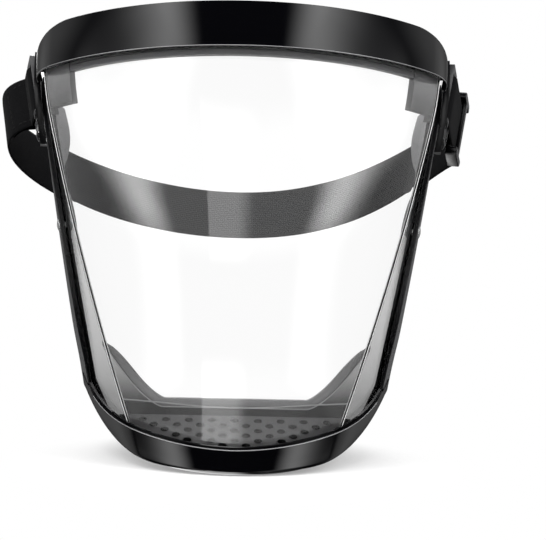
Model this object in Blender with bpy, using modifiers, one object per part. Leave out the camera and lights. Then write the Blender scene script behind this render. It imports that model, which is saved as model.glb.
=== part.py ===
# Full-face shield: a clear wrap-round lens held in a black brow band, side rails and chin bar,
# with a perforated chin vent, soft cheek arms and an adjustable webbing head strap.
# Metres, +Z up. The wearer looks along -Y, so the lens is in front and the strap behind.
# The origin is on the flat underside of the chin bar, at its front, where the shield stands.

import math

import bmesh
import bpy
from mathutils import Matrix, Vector

MM = 0.001
CLEARANCE = 0.3 * MM

# The lens is a front panel, bent on an arc, that folds at a crease into a straight wing each side.
# Its section is set at three heights and runs smoothly through them. Depths are measured
# backwards from the foremost point of the lens.
CHIN_STATION = 8 * MM
CHEEK_STATION = 90 * MM
TEMPLE_STATION = 165 * MM
FRONT_DEPTH_AT_CHIN = 14 * MM
FRONT_DEPTH_AT_CHEEK = 0 * MM
FRONT_DEPTH_AT_TEMPLE = 21 * MM
CREASE_HALF_WIDTH_AT_CHIN = 41 * MM
CREASE_HALF_WIDTH_AT_CHEEK = 66.3 * MM
CREASE_HALF_WIDTH_AT_TEMPLE = 88.5 * MM
CREASE_DEPTH_AT_CHIN = 31 * MM
CREASE_DEPTH_AT_CHEEK = 31 * MM
CREASE_DEPTH_AT_TEMPLE = 64 * MM
EDGE_HALF_WIDTH_AT_CHIN = 61 * MM
EDGE_HALF_WIDTH_AT_CHEEK = 75.3 * MM
EDGE_HALF_WIDTH_AT_TEMPLE = 93 * MM
EDGE_DEPTH_AT_CHIN = 70 * MM
EDGE_DEPTH_AT_CHEEK = 62 * MM
EDGE_DEPTH_AT_TEMPLE = 102 * MM
LENS_THICKNESS = 2 * MM
LENS_FRONT_BOTTOM = 6 * MM
LENS_SIDE_RISE = 14.5 * MM
LENS_EDGE_SWEEP = 3
LENS_CORNER_RISE = 16 * MM
LENS_CORNER_SWEEP = 10
LENS_CORNER_DROP = 17 * MM
TUCK_START = 150 * MM
BROW_TUCK = 6.5 * MM

# Brow band: a gloss angle section whose flange closes the gap above the lens.
BAND_BOTTOM = 178 * MM
BAND_HEIGHT = 22 * MM
BAND_BOTTOM_SLOPE = 0.13
BAND_TOP_SLOPE = 0.14
BAND_WALL = 2.5 * MM
BAND_GAP_TO_LENS = 1.2 * MM
BAND_FLANGE_THICKNESS = 2.2 * MM
BAND_END_U = 0.86
BAND_END_DROP = 12.5 * MM
BAND_DROP_START_U = 0.54
BAND_END_ROUND = 4.5 * MM
BAND_ROUND_U = 0.05
BAND_ROUND_STEP_COUNT = 4
LENS_ENTRY_IN_BAND = 8 * MM
BAND_TOP_ROUND = 1.6 * MM
BAND_LIP_ROUND = 0.8 * MM

# Brow rail behind the lens, with a deeper tab at each temple.
RAIL_THICKNESS = 3 * MM
BROW_RAIL_LIP = 3.6 * MM
TAB_START_U = 0.577
TAB_END_U = 0.82
TAB_BOTTOM = 155.5 * MM
TAB_BOTTOM_SLOPE = 0.08

# Side rails: channels that take the rear edges of the lens.
CHANNEL_OUTER_LIP = 5 * MM
CHANNEL_INNER_LIP = 4 * MM
CHANNEL_OUTER_WALL = 1.8 * MM
CHANNEL_INNER_WALL = 1.4 * MM
CHANNEL_WEB = 2.5 * MM
SIDE_RAIL_RISE = 7 * MM

# Cheek arms: soft S-shaped ribbons that carry on the line of the wings.
ARM_THICKNESS = 3 * MM
ARM_SETBACK = 20 * MM
ARM_WIDTH_AT_CHIN = 33 * MM
ARM_WIDTH_AT_JAW = 37 * MM
ARM_WIDTH_AT_EAR = 56 * MM
ARM_WIDTH_AT_TEMPLE = 44 * MM
JAW_STATION = 70 * MM
EAR_STATION = 128 * MM
ARM_BOSS_RUN = 22 * MM
ARM_TUCK = 0.6

# Chin bar: a U-shaped wall with a ledge for the lens and a flange to stand on.
BAR_FRONT_TOP = 10.8 * MM
BAR_SIDE_RISE = 14 * MM
BAR_RISE_SWEEP = 1.8
BAR_CORNER_RISE = 12 * MM
BAR_CORNER_SWEEP = 12
BAR_CHINE_HEIGHT = 3 * MM
BAR_CHINE_SIDE_RISE = 4 * MM
BAR_CHINE_CORNER_RISE = 25 * MM
BAR_CHINE_SWEEP = 6
BAR_LIP_THICKNESS = 1.2 * MM
BAR_LIP_RISE = 1.2 * MM
BAR_LIP_END = 0.4 * MM
BAR_LIP_STEP_U = 0.01
BAR_WALL = 2.2 * MM
BAR_FOOT_OUTSET = 6.5 * MM
BAR_CORNER_TUCK = 39 * MM
BAR_FOOT_TUCK = 16 * MM
BAR_FOOT_SWEEP = 6
BAR_FLANGE_WIDTH = 7 * MM
BAR_FLANGE_THICKNESS = 2.2 * MM
BAR_LEDGE_WIDTH = 4.5 * MM
BAR_END_REACH = 30 * MM
BAR_END_TUCK = 14 * MM
BAR_END_SWEEP = 1.1
BAR_END_STEP_COUNT = 4
BAR_EDGE_ROUND = 0.7 * MM
BAR_FOOT_ROUND = 2.2 * MM

# Chin vent: a sloping perforated plate with a riser and a soft rim behind it.
PLATE_FRONT_DEPTH = 15 * MM
PLATE_FRONT_HEIGHT = 7.4 * MM
PLATE_REAR_DEPTH = 41 * MM
PLATE_REAR_HEIGHT = 20.5 * MM
PLATE_GAP = 1 * MM
PLATE_THICKNESS = 1.6 * MM
VENT_HOLE_DIAMETER = 3.8 * MM
VENT_COLUMN_PITCH = 4.9 * MM
VENT_ROW_PITCH = 7.4 * MM
VENT_MARGIN = 1.8 * MM
VENT_HOLE_SIDE_COUNT = 16
RISER_THICKNESS = 2.4 * MM
RISER_HEIGHT = 24.2 * MM
RIM_FLAT_HALF_WIDTH = 31 * MM
RIM_TIP_HALF_WIDTH = 58 * MM
RIM_TIP_RISE = 28.4 * MM
RIM_SWEEP = 1.53
RIM_DEPTH = 5.5 * MM
RIM_HEIGHT = 4 * MM

# Strap lugs: plates on the side rails, bent outwards, with a slot for the webbing.
LUG_THICKNESS = 3 * MM
LUG_SETBACK = 12.5 * MM
LUG_DROP = 22 * MM
LUG_RISE = 24 * MM
LUG_FRONT_REACH = 11.8 * MM
LUG_BEND_REACH = 13.2 * MM
LUG_GAP_TO_BAND_U = 0.015
LUG_BEND = math.radians(11)
LUG_TILT = math.radians(21)
LUG_BORDER = 4 * MM
SLOT_START = 3 * MM
SLOT_WIDTH = 4.4 * MM
SLOT_BAR = 6 * MM
STRAP_RISE_ON_LUG = 9 * MM

# Webbing head strap and its slider.
STRAP_WIDTH = 27 * MM
STRAP_THICKNESS = 1.5 * MM
STRAP_STRAIGHT_LEFT = 3 * MM
STRAP_STRAIGHT_RIGHT = 36 * MM
STRAP_TAIL = 26 * MM
STRAP_BACK_DEPTH = 232 * MM
STRAP_BACK_HEIGHT = 116 * MM
STRAP_SIDE_PULL_LEFT = 22 * MM
STRAP_SIDE_PULL_RIGHT = 6 * MM
STRAP_BOW_LEFT = 40 * MM
STRAP_BOW_RIGHT = -12 * MM
STRAP_BACK_PULL_LEFT = 84 * MM
STRAP_BACK_PULL_RIGHT = 78 * MM
SLIDER_LENGTH = 17 * MM
SLIDER_BAR = 3.6 * MM
SLIDER_BAR_THICKNESS = 2 * MM
SLIDER_SIDE = 4 * MM
SLIDER_PLACE = 22 * MM
SLIDER_CORNER = 2.5 * MM

# Turned fasteners.
RIVET_RADIUS = 1.5 * MM
RIVET_HEAD_RADIUS = 2.7 * MM
RIVET_HEAD_HEIGHT = 1.1 * MM
SNAP_HEIGHT = 103 * MM
LUG_RIVET_DROP = 19.5 * MM
ARM_RIVET_DROP = 9 * MM
ARM_RIVET_REACH = 8 * MM
CHANNEL_RIVET_INSET = 2 * MM
PEG_U = 0.65
PEG_DROP_IN_BAND = 1 * MM
PEG_BLIND_WALL = 0.9 * MM

CREASE_U = 0.7
ARC_COLUMN_COUNT = 11
WING_COLUMN_COUNT = 4
LENS_ROW_COUNT = 12
EDGE_ROW_COUNT = 14
TURN_STEP_COUNT = 14
RIM_STEP_COUNT = 12
CUT_PAST = 4 * MM
SLOPE_STEP_U = 0.002
SLOPE_STEP = 0.2 * MM

BAND_TOP = BAND_BOTTOM + BAND_HEIGHT
LENS_FRONT_TOP = BAND_BOTTOM + LENS_ENTRY_IN_BAND
SIDE_RAIL_TOP = LENS_FRONT_TOP - LENS_CORNER_DROP + SIDE_RAIL_RISE
ARM_TOP = SIDE_RAIL_TOP - ARM_SETBACK
LUG_HEIGHT = SIDE_RAIL_TOP - LUG_SETBACK
LUG_BOTTOM = LUG_HEIGHT - LUG_DROP
LUG_TOP = LUG_HEIGHT + LUG_RISE
LUG_RIVET_HEIGHT = SIDE_RAIL_TOP - LUG_RIVET_DROP
ARM_RIVET_HEIGHT = ARM_TOP - ARM_RIVET_DROP
PEG_HEIGHT = BAND_BOTTOM - PEG_DROP_IN_BAND
LENS_OUTSIDE = LENS_THICKNESS / 2
LENS_INSIDE = -LENS_THICKNESS / 2
BAND_INNER = LENS_OUTSIDE + BAND_GAP_TO_LENS
BAND_OUTER = BAND_INNER + BAND_WALL
RAIL_OUTER = LENS_INSIDE - CLEARANCE
RAIL_INNER = RAIL_OUTER - RAIL_THICKNESS
BAND_FLANGE_EDGE = RAIL_INNER
CHANNEL_OUTER_FACE = LENS_OUTSIDE + CLEARANCE + CHANNEL_OUTER_WALL
CHANNEL_INNER_FACE = LENS_INSIDE - CLEARANCE - CHANNEL_INNER_WALL
CHANNEL_BACK = CLEARANCE + CHANNEL_WEB
ARM_START = CHANNEL_BACK + CLEARANCE
LUG_INNER = CHANNEL_OUTER_FACE + 2 * CLEARANCE
LUG_OUTER = LUG_INNER + LUG_THICKNESS
ORIGIN_DEPTH = FRONT_DEPTH_AT_CHIN + BAR_FLANGE_WIDTH / 2

BLACK_GLOSS = ("black_gloss_abs", (0.012, 0.012, 0.013), 0.16)
BLACK_SATIN = ("black_satin_abs", (0.016, 0.016, 0.017), 0.34)
BLACK_SOFT = ("black_soft_rubber", (0.014, 0.014, 0.015), 0.62)
BLACK_WEB = ("black_webbing", (0.011, 0.011, 0.012), 0.88)
GREY_MOULDED = ("grey_moulded_abs", (0.075, 0.075, 0.078), 0.42)
CLEAR_PC = ("clear_polycarbonate", (0.92, 0.94, 0.95), 0.05)

parts = None
cutters = None


def start_scene():
    """Empty the scene and make one collection for the shield and one for its cutters."""
    global parts, cutters
    for item in list(bpy.data.objects):
        bpy.data.objects.remove(item, do_unlink=True)
    parts = bpy.data.collections.new("face_shield")
    cutters = bpy.data.collections.new("face_shield_cutters")
    bpy.context.scene.collection.children.link(parts)
    bpy.context.scene.collection.children.link(cutters)


def material(look):
    name, colour, roughness = look
    found = bpy.data.materials.get(name)
    if found:
        return found
    made = bpy.data.materials.new(name)
    made.use_nodes = True
    shader = made.node_tree.nodes["Principled BSDF"]
    shader.inputs["Base Color"].default_value = (*colour, 1.0)
    shader.inputs["Roughness"].default_value = roughness
    shader.inputs["Metallic"].default_value = 0.0
    if look is CLEAR_PC:
        shader.inputs["Transmission Weight"].default_value = 1.0
        shader.inputs["IOR"].default_value = 1.58
    return made


def add_part(name, mesh, look):
    mesh.materials.append(material(look))
    item = bpy.data.objects.new(name, mesh)
    parts.objects.link(item)
    return item


def mesh_from(name, bm):
    bmesh.ops.recalc_face_normals(bm, faces=bm.faces[:])
    mesh = bpy.data.meshes.new(name)
    bm.to_mesh(mesh)
    bm.free()
    mesh.shade_smooth()
    mesh.set_sharp_from_angle(angle=math.radians(35))
    return mesh


def cut(item, cutter):
    modifier = item.modifiers.new(cutter.name, "BOOLEAN")
    modifier.operation = "DIFFERENCE"
    modifier.object = cutter


def add_cutter(name, bm, place):
    mesh = mesh_from(name, bm)
    item = bpy.data.objects.new(name, mesh)
    item.matrix_world = place
    item.hide_render = True
    item.display_type = "WIRE"
    cutters.objects.link(item)
    return item


def box_cutter(name, place, low, high):
    bm = bmesh.new()
    bmesh.ops.create_cube(bm, size=1.0)
    size = high - low
    bmesh.ops.scale(bm, vec=size, verts=bm.verts[:])
    bmesh.ops.translate(bm, vec=(low + high) / 2, verts=bm.verts[:])
    return add_cutter(name, bm, place)


def drill_cutter(name, place, radius, low, high):
    bm = bmesh.new()
    middle = Matrix.Translation((0, 0, (low + high) / 2))
    bmesh.ops.create_cone(bm, cap_ends=True, segments=TURN_STEP_COUNT, radius1=radius, radius2=radius,
                          depth=high - low, matrix=middle)
    return add_cutter(name, bm, place)


def through_stations(height, at_chin, at_cheek, at_temple):
    """The smooth curve through a value at the chin, cheek and temple stations."""
    a, b, c = CHIN_STATION, CHEEK_STATION, TEMPLE_STATION
    chin_share = (height - b) * (height - c) / ((a - b) * (a - c))
    cheek_share = (height - a) * (height - c) / ((b - a) * (b - c))
    temple_share = (height - a) * (height - b) / ((c - a) * (c - b))
    return at_chin * chin_share + at_cheek * cheek_share + at_temple * temple_share


def brow_tuck(height):
    """How far the top of the lens is drawn in, so that it stands more upright under the brow band."""
    rise = max(0, height - TUCK_START) / (BAND_TOP - TUCK_START)
    return BROW_TUCK * rise ** 2


def crease_at(height):
    x = through_stations(height, CREASE_HALF_WIDTH_AT_CHIN, CREASE_HALF_WIDTH_AT_CHEEK,
                         CREASE_HALF_WIDTH_AT_TEMPLE)
    y = through_stations(height, CREASE_DEPTH_AT_CHIN, CREASE_DEPTH_AT_CHEEK, CREASE_DEPTH_AT_TEMPLE)
    return Vector((x - brow_tuck(height), y))


def edge_at(height):
    x = through_stations(height, EDGE_HALF_WIDTH_AT_CHIN, EDGE_HALF_WIDTH_AT_CHEEK,
                         EDGE_HALF_WIDTH_AT_TEMPLE)
    y = through_stations(height, EDGE_DEPTH_AT_CHIN, EDGE_DEPTH_AT_CHEEK, EDGE_DEPTH_AT_TEMPLE)
    return Vector((x - brow_tuck(height), y))


def section(u, height):
    """A point of the lens's middle surface. u is 0 at the centre, 1 at the rear edge on +X."""
    side = -1 if u < 0 else 1
    crease = crease_at(height)
    if abs(u) <= CREASE_U:
        front = through_stations(height, FRONT_DEPTH_AT_CHIN, FRONT_DEPTH_AT_CHEEK, FRONT_DEPTH_AT_TEMPLE)
        sagitta = crease.y - front
        radius = (crease.x ** 2 + sagitta ** 2) / (2 * sagitta)
        angle = math.asin(crease.x / radius) * abs(u) / CREASE_U
        x = radius * math.sin(angle)
        y = front + radius * (1 - math.cos(angle))
    else:
        x, y = crease.lerp(edge_at(height), (abs(u) - CREASE_U) / (1 - CREASE_U))
    return Vector((side * x, y - ORIGIN_DEPTH, height))


def outward(u, height):
    """The unit normal of the middle surface, pointing away from the face."""
    along = section(u + SLOPE_STEP_U, height) - section(u - SLOPE_STEP_U, height)
    upward = section(u, height + SLOPE_STEP) - section(u, height - SLOPE_STEP)
    return along.cross(upward).normalized()


def level(u, height, offset):
    """A point on the surface at an offset from the middle surface, reached without leaving its height."""
    normal = outward(u, height)
    flat = Vector((normal.x, normal.y, 0))
    return section(u, height) + flat * (offset / flat.length_squared)


def u_behind_edge(reach, height):
    """The u of a point that lies behind the lens's rear edge, on the line of the wing."""
    wing = (edge_at(height) - crease_at(height)).length
    return 1 + (1 - CREASE_U) * reach / wing


def u_at_depth(depth, height):
    """The u of the point of a wing, or of the line behind it, at a depth and a height."""
    crease = crease_at(height)
    edge = edge_at(height)
    return CREASE_U + (1 - CREASE_U) * (depth - crease.y) / (edge.y - crease.y)


def mirrored(point, side):
    return Vector((side * point.x, point.y, point.z))


def lens_columns(low, high):
    """The lens's own columns between two values of u, with those two values as the ends."""
    arc = [CREASE_U * i / ARC_COLUMN_COUNT for i in range(ARC_COLUMN_COUNT + 1)]
    wing = [CREASE_U + (1 - CREASE_U) * i / WING_COLUMN_COUNT for i in range(1, WING_COLUMN_COUNT + 1)]
    half = arc + wing
    every = [-u for u in reversed(half[1:])] + half
    near = 0.004
    return [low] + [u for u in every if low + near < u < high - near] + [high]


def fractions(count):
    return [i / count for i in range(count + 1)]


def eased(share):
    return share * share * (3 - 2 * share)


def slab_mesh(name, columns, rows, place):
    """A sheet with thickness: a grid, extruded once, whose points place() puts on the shield."""
    bm = bmesh.new()
    bmesh.ops.create_grid(bm, x_segments=len(columns) - 1, y_segments=len(rows) - 1, size=1.0)
    extruded = bmesh.ops.extrude_face_region(bm, geom=bm.faces[:])
    for item in extruded["geom"]:
        if isinstance(item, bmesh.types.BMVert):
            item.co.z = 1.0
    for vert in bm.verts:
        column = columns[round((vert.co.x + 1) / 2 * (len(columns) - 1))]
        row = rows[round((vert.co.y + 1) / 2 * (len(rows) - 1))]
        vert.co = place(column, row, vert.co.z)
    return mesh_from(name, bm)


def loft_mesh(name, rings):
    """A solid through closed rings of points, capped at both ends."""
    bm = bmesh.new()
    loops = [[bm.verts.new(point) for point in ring] for ring in rings]
    for near, far in zip(loops, loops[1:]):
        for i in range(len(near)):
            k = (i + 1) % len(near)
            bm.faces.new((near[i], near[k], far[k], far[i]))
    bm.faces.new(loops[0])
    bm.faces.new(loops[-1])
    return mesh_from(name, bm)


def axis_place(point, axis, side):
    """Where a turned piece stands: its own Z along the axis, mirrored for the -X side."""
    spin = mirrored(axis, side).to_track_quat("Z", "Y")
    return Matrix.Translation(mirrored(point, side)) @ spin.to_matrix().to_4x4()


def turned(name, profile, place, look):
    """A turned piece from (radius, height) points that run down its outer side, top to bottom."""
    mesh = bpy.data.meshes.new(name)
    points = [(radius, 0, height) for radius, height in profile]
    edges = [(i, i + 1) for i in range(len(points) - 1)]
    mesh.from_pydata(points, edges, [])
    item = add_part(name, mesh, look)
    item.matrix_world = place
    screw = item.modifiers.new("turn", "SCREW")
    screw.steps = TURN_STEP_COUNT
    screw.render_steps = TURN_STEP_COUNT
    screw.use_merge_vertices = True
    screw.merge_threshold = 0.01 * MM
    screw.use_smooth_shade = True
    return item


def rivet_profile(low, high):
    """A pin with a domed head outside each of the two faces at low and high."""
    bulge = 0.7
    return [
        (0, high + RIVET_HEAD_HEIGHT),
        (RIVET_HEAD_RADIUS * bulge, high + RIVET_HEAD_HEIGHT * bulge),
        (RIVET_HEAD_RADIUS, high),
        (RIVET_RADIUS, high),
        (RIVET_RADIUS, low),
        (RIVET_HEAD_RADIUS, low),
        (RIVET_HEAD_RADIUS * bulge, low - RIVET_HEAD_HEIGHT * bulge),
        (0, low - RIVET_HEAD_HEIGHT),
    ]


def band_run(u):
    """How far behind the front of the brow a column of the lens lies."""
    return section(u, BAND_BOTTOM).y - section(0, BAND_BOTTOM).y


def band_bottom(u):
    return BAND_BOTTOM - BAND_BOTTOM_SLOPE * band_run(u)


def band_top(u):
    past = min(1, max(0, abs(u) - BAND_DROP_START_U) / (BAND_END_U - BAND_DROP_START_U))
    return BAND_TOP - BAND_TOP_SLOPE * band_run(u) - BAND_END_DROP * eased(past)


def band_end_rise(u):
    """How far the lower edge of the band turns up where its end is rounded."""
    past = min(1, max(0, abs(u) - BAND_END_U + BAND_ROUND_U) / BAND_ROUND_U)
    return BAND_END_ROUND * (1 - math.sqrt(1 - past ** 2))


def lens_bottom(u):
    side = LENS_SIDE_RISE * abs(u) ** LENS_EDGE_SWEEP
    corner = LENS_CORNER_RISE * abs(u) ** LENS_CORNER_SWEEP
    return LENS_FRONT_BOTTOM + side + corner


def lens_top(u):
    return LENS_FRONT_TOP - LENS_CORNER_DROP * abs(u) ** LENS_EDGE_SWEEP


def bar_top(u):
    a = min(abs(u), 1)
    return BAR_FRONT_TOP + BAR_SIDE_RISE * a ** BAR_RISE_SWEEP + BAR_CORNER_RISE * a ** BAR_CORNER_SWEEP


def bar_chine(u):
    """The lower edge of the bar's outer face, which sweeps up to the side rails."""
    a = min(abs(u), 1)
    return BAR_CHINE_HEIGHT + BAR_CHINE_SIDE_RISE * a ** 2 + BAR_CHINE_CORNER_RISE * a ** BAR_CHINE_SWEEP


def bar_lip(u):
    """The thin lip above the bar that hides the lower edge of the lens."""
    return bar_top(u) + (BAR_LIP_END if abs(u) > 1 else BAR_LIP_RISE)


def visor_lens():
    def place(u, row, face):
        height = lens_bottom(u) + (lens_top(u) - lens_bottom(u)) * row
        return level(u, height, LENS_INSIDE + LENS_THICKNESS * face)

    mesh = slab_mesh("visor_lens", lens_columns(-1, 1), fractions(LENS_ROW_COUNT), place)
    return add_part("visor_lens", mesh, CLEAR_PC)


def brow_band():
    rings = []
    inner = BAND_END_U - BAND_ROUND_U
    rounded = [inner + BAND_ROUND_U * share for share in fractions(BAND_ROUND_STEP_COUNT)]
    ends = [TAB_START_U, TAB_END_U] + rounded
    middle = [u for u in lens_columns(-inner, inner) if abs(u) < inner]
    for u in sorted(middle + ends + [-u for u in ends]):
        low, high = band_bottom(u) + band_end_rise(u), band_top(u)
        under = high - BAND_FLANGE_THICKNESS
        rings.append([
            level(u, low, BAND_OUTER - BAND_LIP_ROUND),
            level(u, low + BAND_LIP_ROUND, BAND_OUTER),
            level(u, high - BAND_TOP_ROUND, BAND_OUTER),
            level(u, high, BAND_OUTER - BAND_TOP_ROUND),
            level(u, high, BAND_FLANGE_EDGE),
            level(u, under, BAND_FLANGE_EDGE),
            level(u, under, BAND_INNER),
            level(u, low, BAND_INNER),
        ])
    return add_part("brow_band", loft_mesh("brow_band", rings), BLACK_GLOSS)


def rail_top(u):
    return band_top(u) - BAND_FLANGE_THICKNESS - CLEARANCE


def rail_seam():
    """Half the gap between the brow rail and a temple tab, as a step in u."""
    step = section(TAB_START_U, TAB_BOTTOM) - section(TAB_START_U - SLOPE_STEP_U, TAB_BOTTOM)
    return CLEARANCE / 2 * SLOPE_STEP_U / step.length


def brow_rail():
    end = TAB_START_U - rail_seam()

    def place(u, row, face):
        low = band_bottom(u) - BROW_RAIL_LIP
        height = low + (rail_top(u) - low) * row
        return level(u, height, RAIL_INNER + RAIL_THICKNESS * face)

    mesh = slab_mesh("brow_rail", lens_columns(-end, end), fractions(3), place)
    return add_part("brow_rail", mesh, GREY_MOULDED)


def temple_tab(name, side):
    def place(u, row, face):
        low = TAB_BOTTOM - TAB_BOTTOM_SLOPE * (band_run(u) - band_run(TAB_START_U))
        height = low + (rail_top(u) - low) * row
        return mirrored(level(u, height, RAIL_INNER + RAIL_THICKNESS * face), side)

    columns = lens_columns(TAB_START_U + rail_seam(), TAB_END_U)
    mesh = slab_mesh(name, columns, fractions(4), place)
    return add_part(name, mesh, GREY_MOULDED)


def side_rail(name, side):
    channel = [
        (-CHANNEL_OUTER_LIP, LENS_OUTSIDE + CLEARANCE),
        (-CHANNEL_OUTER_LIP, CHANNEL_OUTER_FACE),
        (CHANNEL_BACK, CHANNEL_OUTER_FACE),
        (CHANNEL_BACK, CHANNEL_INNER_FACE),
        (-CHANNEL_INNER_LIP, CHANNEL_INNER_FACE),
        (-CHANNEL_INNER_LIP, LENS_INSIDE - CLEARANCE),
        (CLEARANCE, LENS_INSIDE - CLEARANCE),
        (CLEARANCE, LENS_OUTSIDE + CLEARANCE),
    ]
    low = bar_lip(1) + CLEARANCE
    rings = []
    for row in fractions(EDGE_ROW_COUNT):
        height = low + (SIDE_RAIL_TOP - low) * row
        rings.append([mirrored(level(u_behind_edge(reach, height), height, offset), side)
                      for reach, offset in channel])
    return add_part(name, loft_mesh(name, rings), BLACK_SATIN)


def arm_width(height):
    """The S of the cheek arm: its width by height, on the cubic through its four stations."""
    stations = [
        (bar_top(1), ARM_WIDTH_AT_CHIN),
        (JAW_STATION, ARM_WIDTH_AT_JAW),
        (EAR_STATION, ARM_WIDTH_AT_EAR),
        (ARM_TOP, ARM_WIDTH_AT_TEMPLE),
    ]
    total = 0
    for here, width in stations:
        share = 1
        for other, _ in stations:
            if other != here:
                share *= (height - other) / (here - other)
        total += width * share
    return total


def arm_tuck(height, reach):
    """How far the arm is drawn in from the wing's line below its boss. A tuck of 1 runs straight back."""
    wing = edge_at(height) - crease_at(height)
    share = min(1, max(0, (ARM_TOP - ARM_BOSS_RUN - height) / ARM_BOSS_RUN))
    return ARM_TUCK * eased(share) * reach * wing.x / wing.y


def cheek_arm(name, side):
    low = bar_top(1) + BAR_LIP_END + CLEARANCE
    boss_face = LUG_INNER - 2 * CLEARANCE

    def place(column, row, face):
        height = low + (ARM_TOP - low) * row
        swell = min(1, max(0, (height - ARM_TOP + ARM_BOSS_RUN) / ARM_BOSS_RUN * 2))
        outer = ARM_THICKNESS / 2 + (boss_face - ARM_THICKNESS / 2) * swell
        reach = ARM_START + arm_width(height) * column
        offset = outer if face else -ARM_THICKNESS / 2
        point = level(u_behind_edge(reach, height), height, offset - arm_tuck(height, reach))
        return mirrored(point, side)

    mesh = slab_mesh(name, fractions(4), fractions(EDGE_ROW_COUNT), place)
    return add_part(name, mesh, BLACK_SOFT)


def bar_end():
    return u_behind_edge(BAR_END_REACH, bar_top(1))


def bar_tuck(u):
    """How far the bar leaves the line of the wings behind the lens."""
    return BAR_END_TUCK * max(0, (abs(u) - 1) / (bar_end() - 1)) ** BAR_END_SWEEP


def bar_foot(u):
    """The offset of the bar's outer face at its foot: full in front, rounded off at the corners."""
    a = min(abs(u), 1)
    corner = BAR_CORNER_TUCK * a ** 2 * (1 - a ** 2)
    return BAR_FOOT_OUTSET - corner - BAR_FOOT_TUCK * a ** BAR_FOOT_SWEEP - bar_tuck(u)


def bar_flange(u):
    """The offset of the inner edge of the flange the shield stands on."""
    return bar_foot(u) - BAR_WALL - BAR_FLANGE_WIDTH


def chin_bar():
    step = 1 + BAR_LIP_STEP_U
    rear = [step + (bar_end() - step) * share for share in fractions(BAR_END_STEP_COUNT)]
    rings = [bar_ring(u) for u in [-u for u in reversed(rear)] + lens_columns(-1, 1) + rear]
    return add_part("chin_bar", loft_mesh("chin_bar", rings), BLACK_GLOSS)


def bar_ring(u):
    groove = LENS_OUTSIDE + CLEARANCE - bar_tuck(u)
    ledge = min(lens_bottom(u), lens_bottom(1)) - CLEARANCE
    foot = bar_foot(u)
    inside = foot - BAR_WALL
    flange = bar_flange(u)
    a = min(abs(u), 1)
    rise = (bar_top(u) - bar_chine(u)) / (bar_top(u) - BAR_FOOT_ROUND)
    upright = (BAR_FOOT_OUTSET - groove - BAR_WALL) * (1 - a ** 2) * rise
    return [
        level(u, 0, foot - BAR_FOOT_ROUND),
        level(u, BAR_FOOT_ROUND * 0.3, foot - BAR_FOOT_ROUND * 0.3),
        level(u, BAR_FOOT_ROUND, foot),
        level(u, bar_chine(u), groove + BAR_WALL + upright),
        level(u, bar_top(u) - BAR_EDGE_ROUND, groove + BAR_WALL),
        level(u, bar_top(u), groove + BAR_WALL - BAR_EDGE_ROUND),
        level(u, bar_top(u), groove + BAR_LIP_THICKNESS),
        level(u, bar_lip(u), groove + BAR_LIP_THICKNESS),
        level(u, bar_lip(u), groove),
        level(u, ledge, groove),
        level(u, ledge, groove - BAR_LEDGE_WIDTH),
        level(u, BAR_FLANGE_THICKNESS, inside),
        level(u, BAR_FLANGE_THICKNESS, flange),
        level(u, 0, flange),
    ]


def plate_slope():
    """The plate's run, its rise and its length along the slope."""
    run = PLATE_REAR_DEPTH - PLATE_FRONT_DEPTH
    rise = PLATE_REAR_HEIGHT - PLATE_FRONT_HEIGHT
    return run, rise, math.hypot(run, rise)


def plate_point(u):
    """Where the plate's slope meets the inside of the lens, across the plate and along its slope."""
    run, rise, length = plate_slope()
    height = PLATE_FRONT_HEIGHT
    for _ in range(12):
        point = level(u, height, LENS_INSIDE - PLATE_GAP)
        along = (point.y + ORIGIN_DEPTH - PLATE_FRONT_DEPTH) / run
        height = PLATE_FRONT_HEIGHT + rise * along
    return Vector((point.x, along * length))


def plate_edge():
    """The plate's curved edge, from its rear corner on -X round the front to the one on +X."""
    length = plate_slope()[2]
    near, far = CREASE_U / 2, 1.0
    for _ in range(30):
        middle = (near + far) / 2
        if plate_point(middle).y < length:
            near = middle
        else:
            far = middle
    return [plate_point(u) for u in lens_columns(-near, near)]


def inside_edge(point, edge, margin):
    """Whether a point lies behind the curved edge and at least the margin from it."""
    for start, end in zip(edge, edge[1:]):
        along = (end - start).normalized()
        share = min(max((point - start).dot(along), 0), (end - start).length)
        if (point - start - along * share).length < margin:
            return False
        if start.x <= point.x <= end.x and (end - start).cross(point - start) < 0:
            return False
    return edge[0].x < point.x < edge[-1].x


def vent_plate():
    run, rise, length = plate_slope()
    edge = plate_edge()
    curve = bpy.data.curves.new("vent_plate", "CURVE")
    curve.dimensions = "2D"
    curve.fill_mode = "BOTH"
    curve.extrude = PLATE_THICKNESS / 2
    add_outline(curve, edge)
    hole = VENT_HOLE_DIAMETER / 2
    margin = hole + VENT_MARGIN
    columns = int(edge[-1].x / VENT_COLUMN_PITCH)
    rows = int((length - edge[len(edge) // 2].y) / VENT_ROW_PITCH) + 1
    for column in range(-columns, columns + 1):
        for row in range(rows):
            stagger = VENT_ROW_PITCH / 2 if column % 2 else 0
            centre = Vector((column * VENT_COLUMN_PITCH, length - margin - stagger - row * VENT_ROW_PITCH))
            if inside_edge(centre, edge, margin):
                add_outline(curve, circle_points(centre.x, centre.y, hole))
    curve.materials.append(material(GREY_MOULDED))
    item = bpy.data.objects.new("vent_plate", curve)
    parts.objects.link(item)
    item.location = (0, PLATE_FRONT_DEPTH - ORIGIN_DEPTH, PLATE_FRONT_HEIGHT)
    item.rotation_euler = (math.atan2(rise, run), 0, 0)
    return item


def circle_points(x, y, radius):
    turns = [2 * math.pi * i / VENT_HOLE_SIDE_COUNT for i in range(VENT_HOLE_SIDE_COUNT)]
    return [(x + radius * math.cos(turn), y + radius * math.sin(turn)) for turn in turns]


def add_outline(curve, points):
    spline = curve.splines.new("POLY")
    spline.points.add(len(points) - 1)
    for point, (x, y) in zip(spline.points, points):
        point.co = (x, y, 0, 1)
    spline.use_cyclic_u = True


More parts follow.
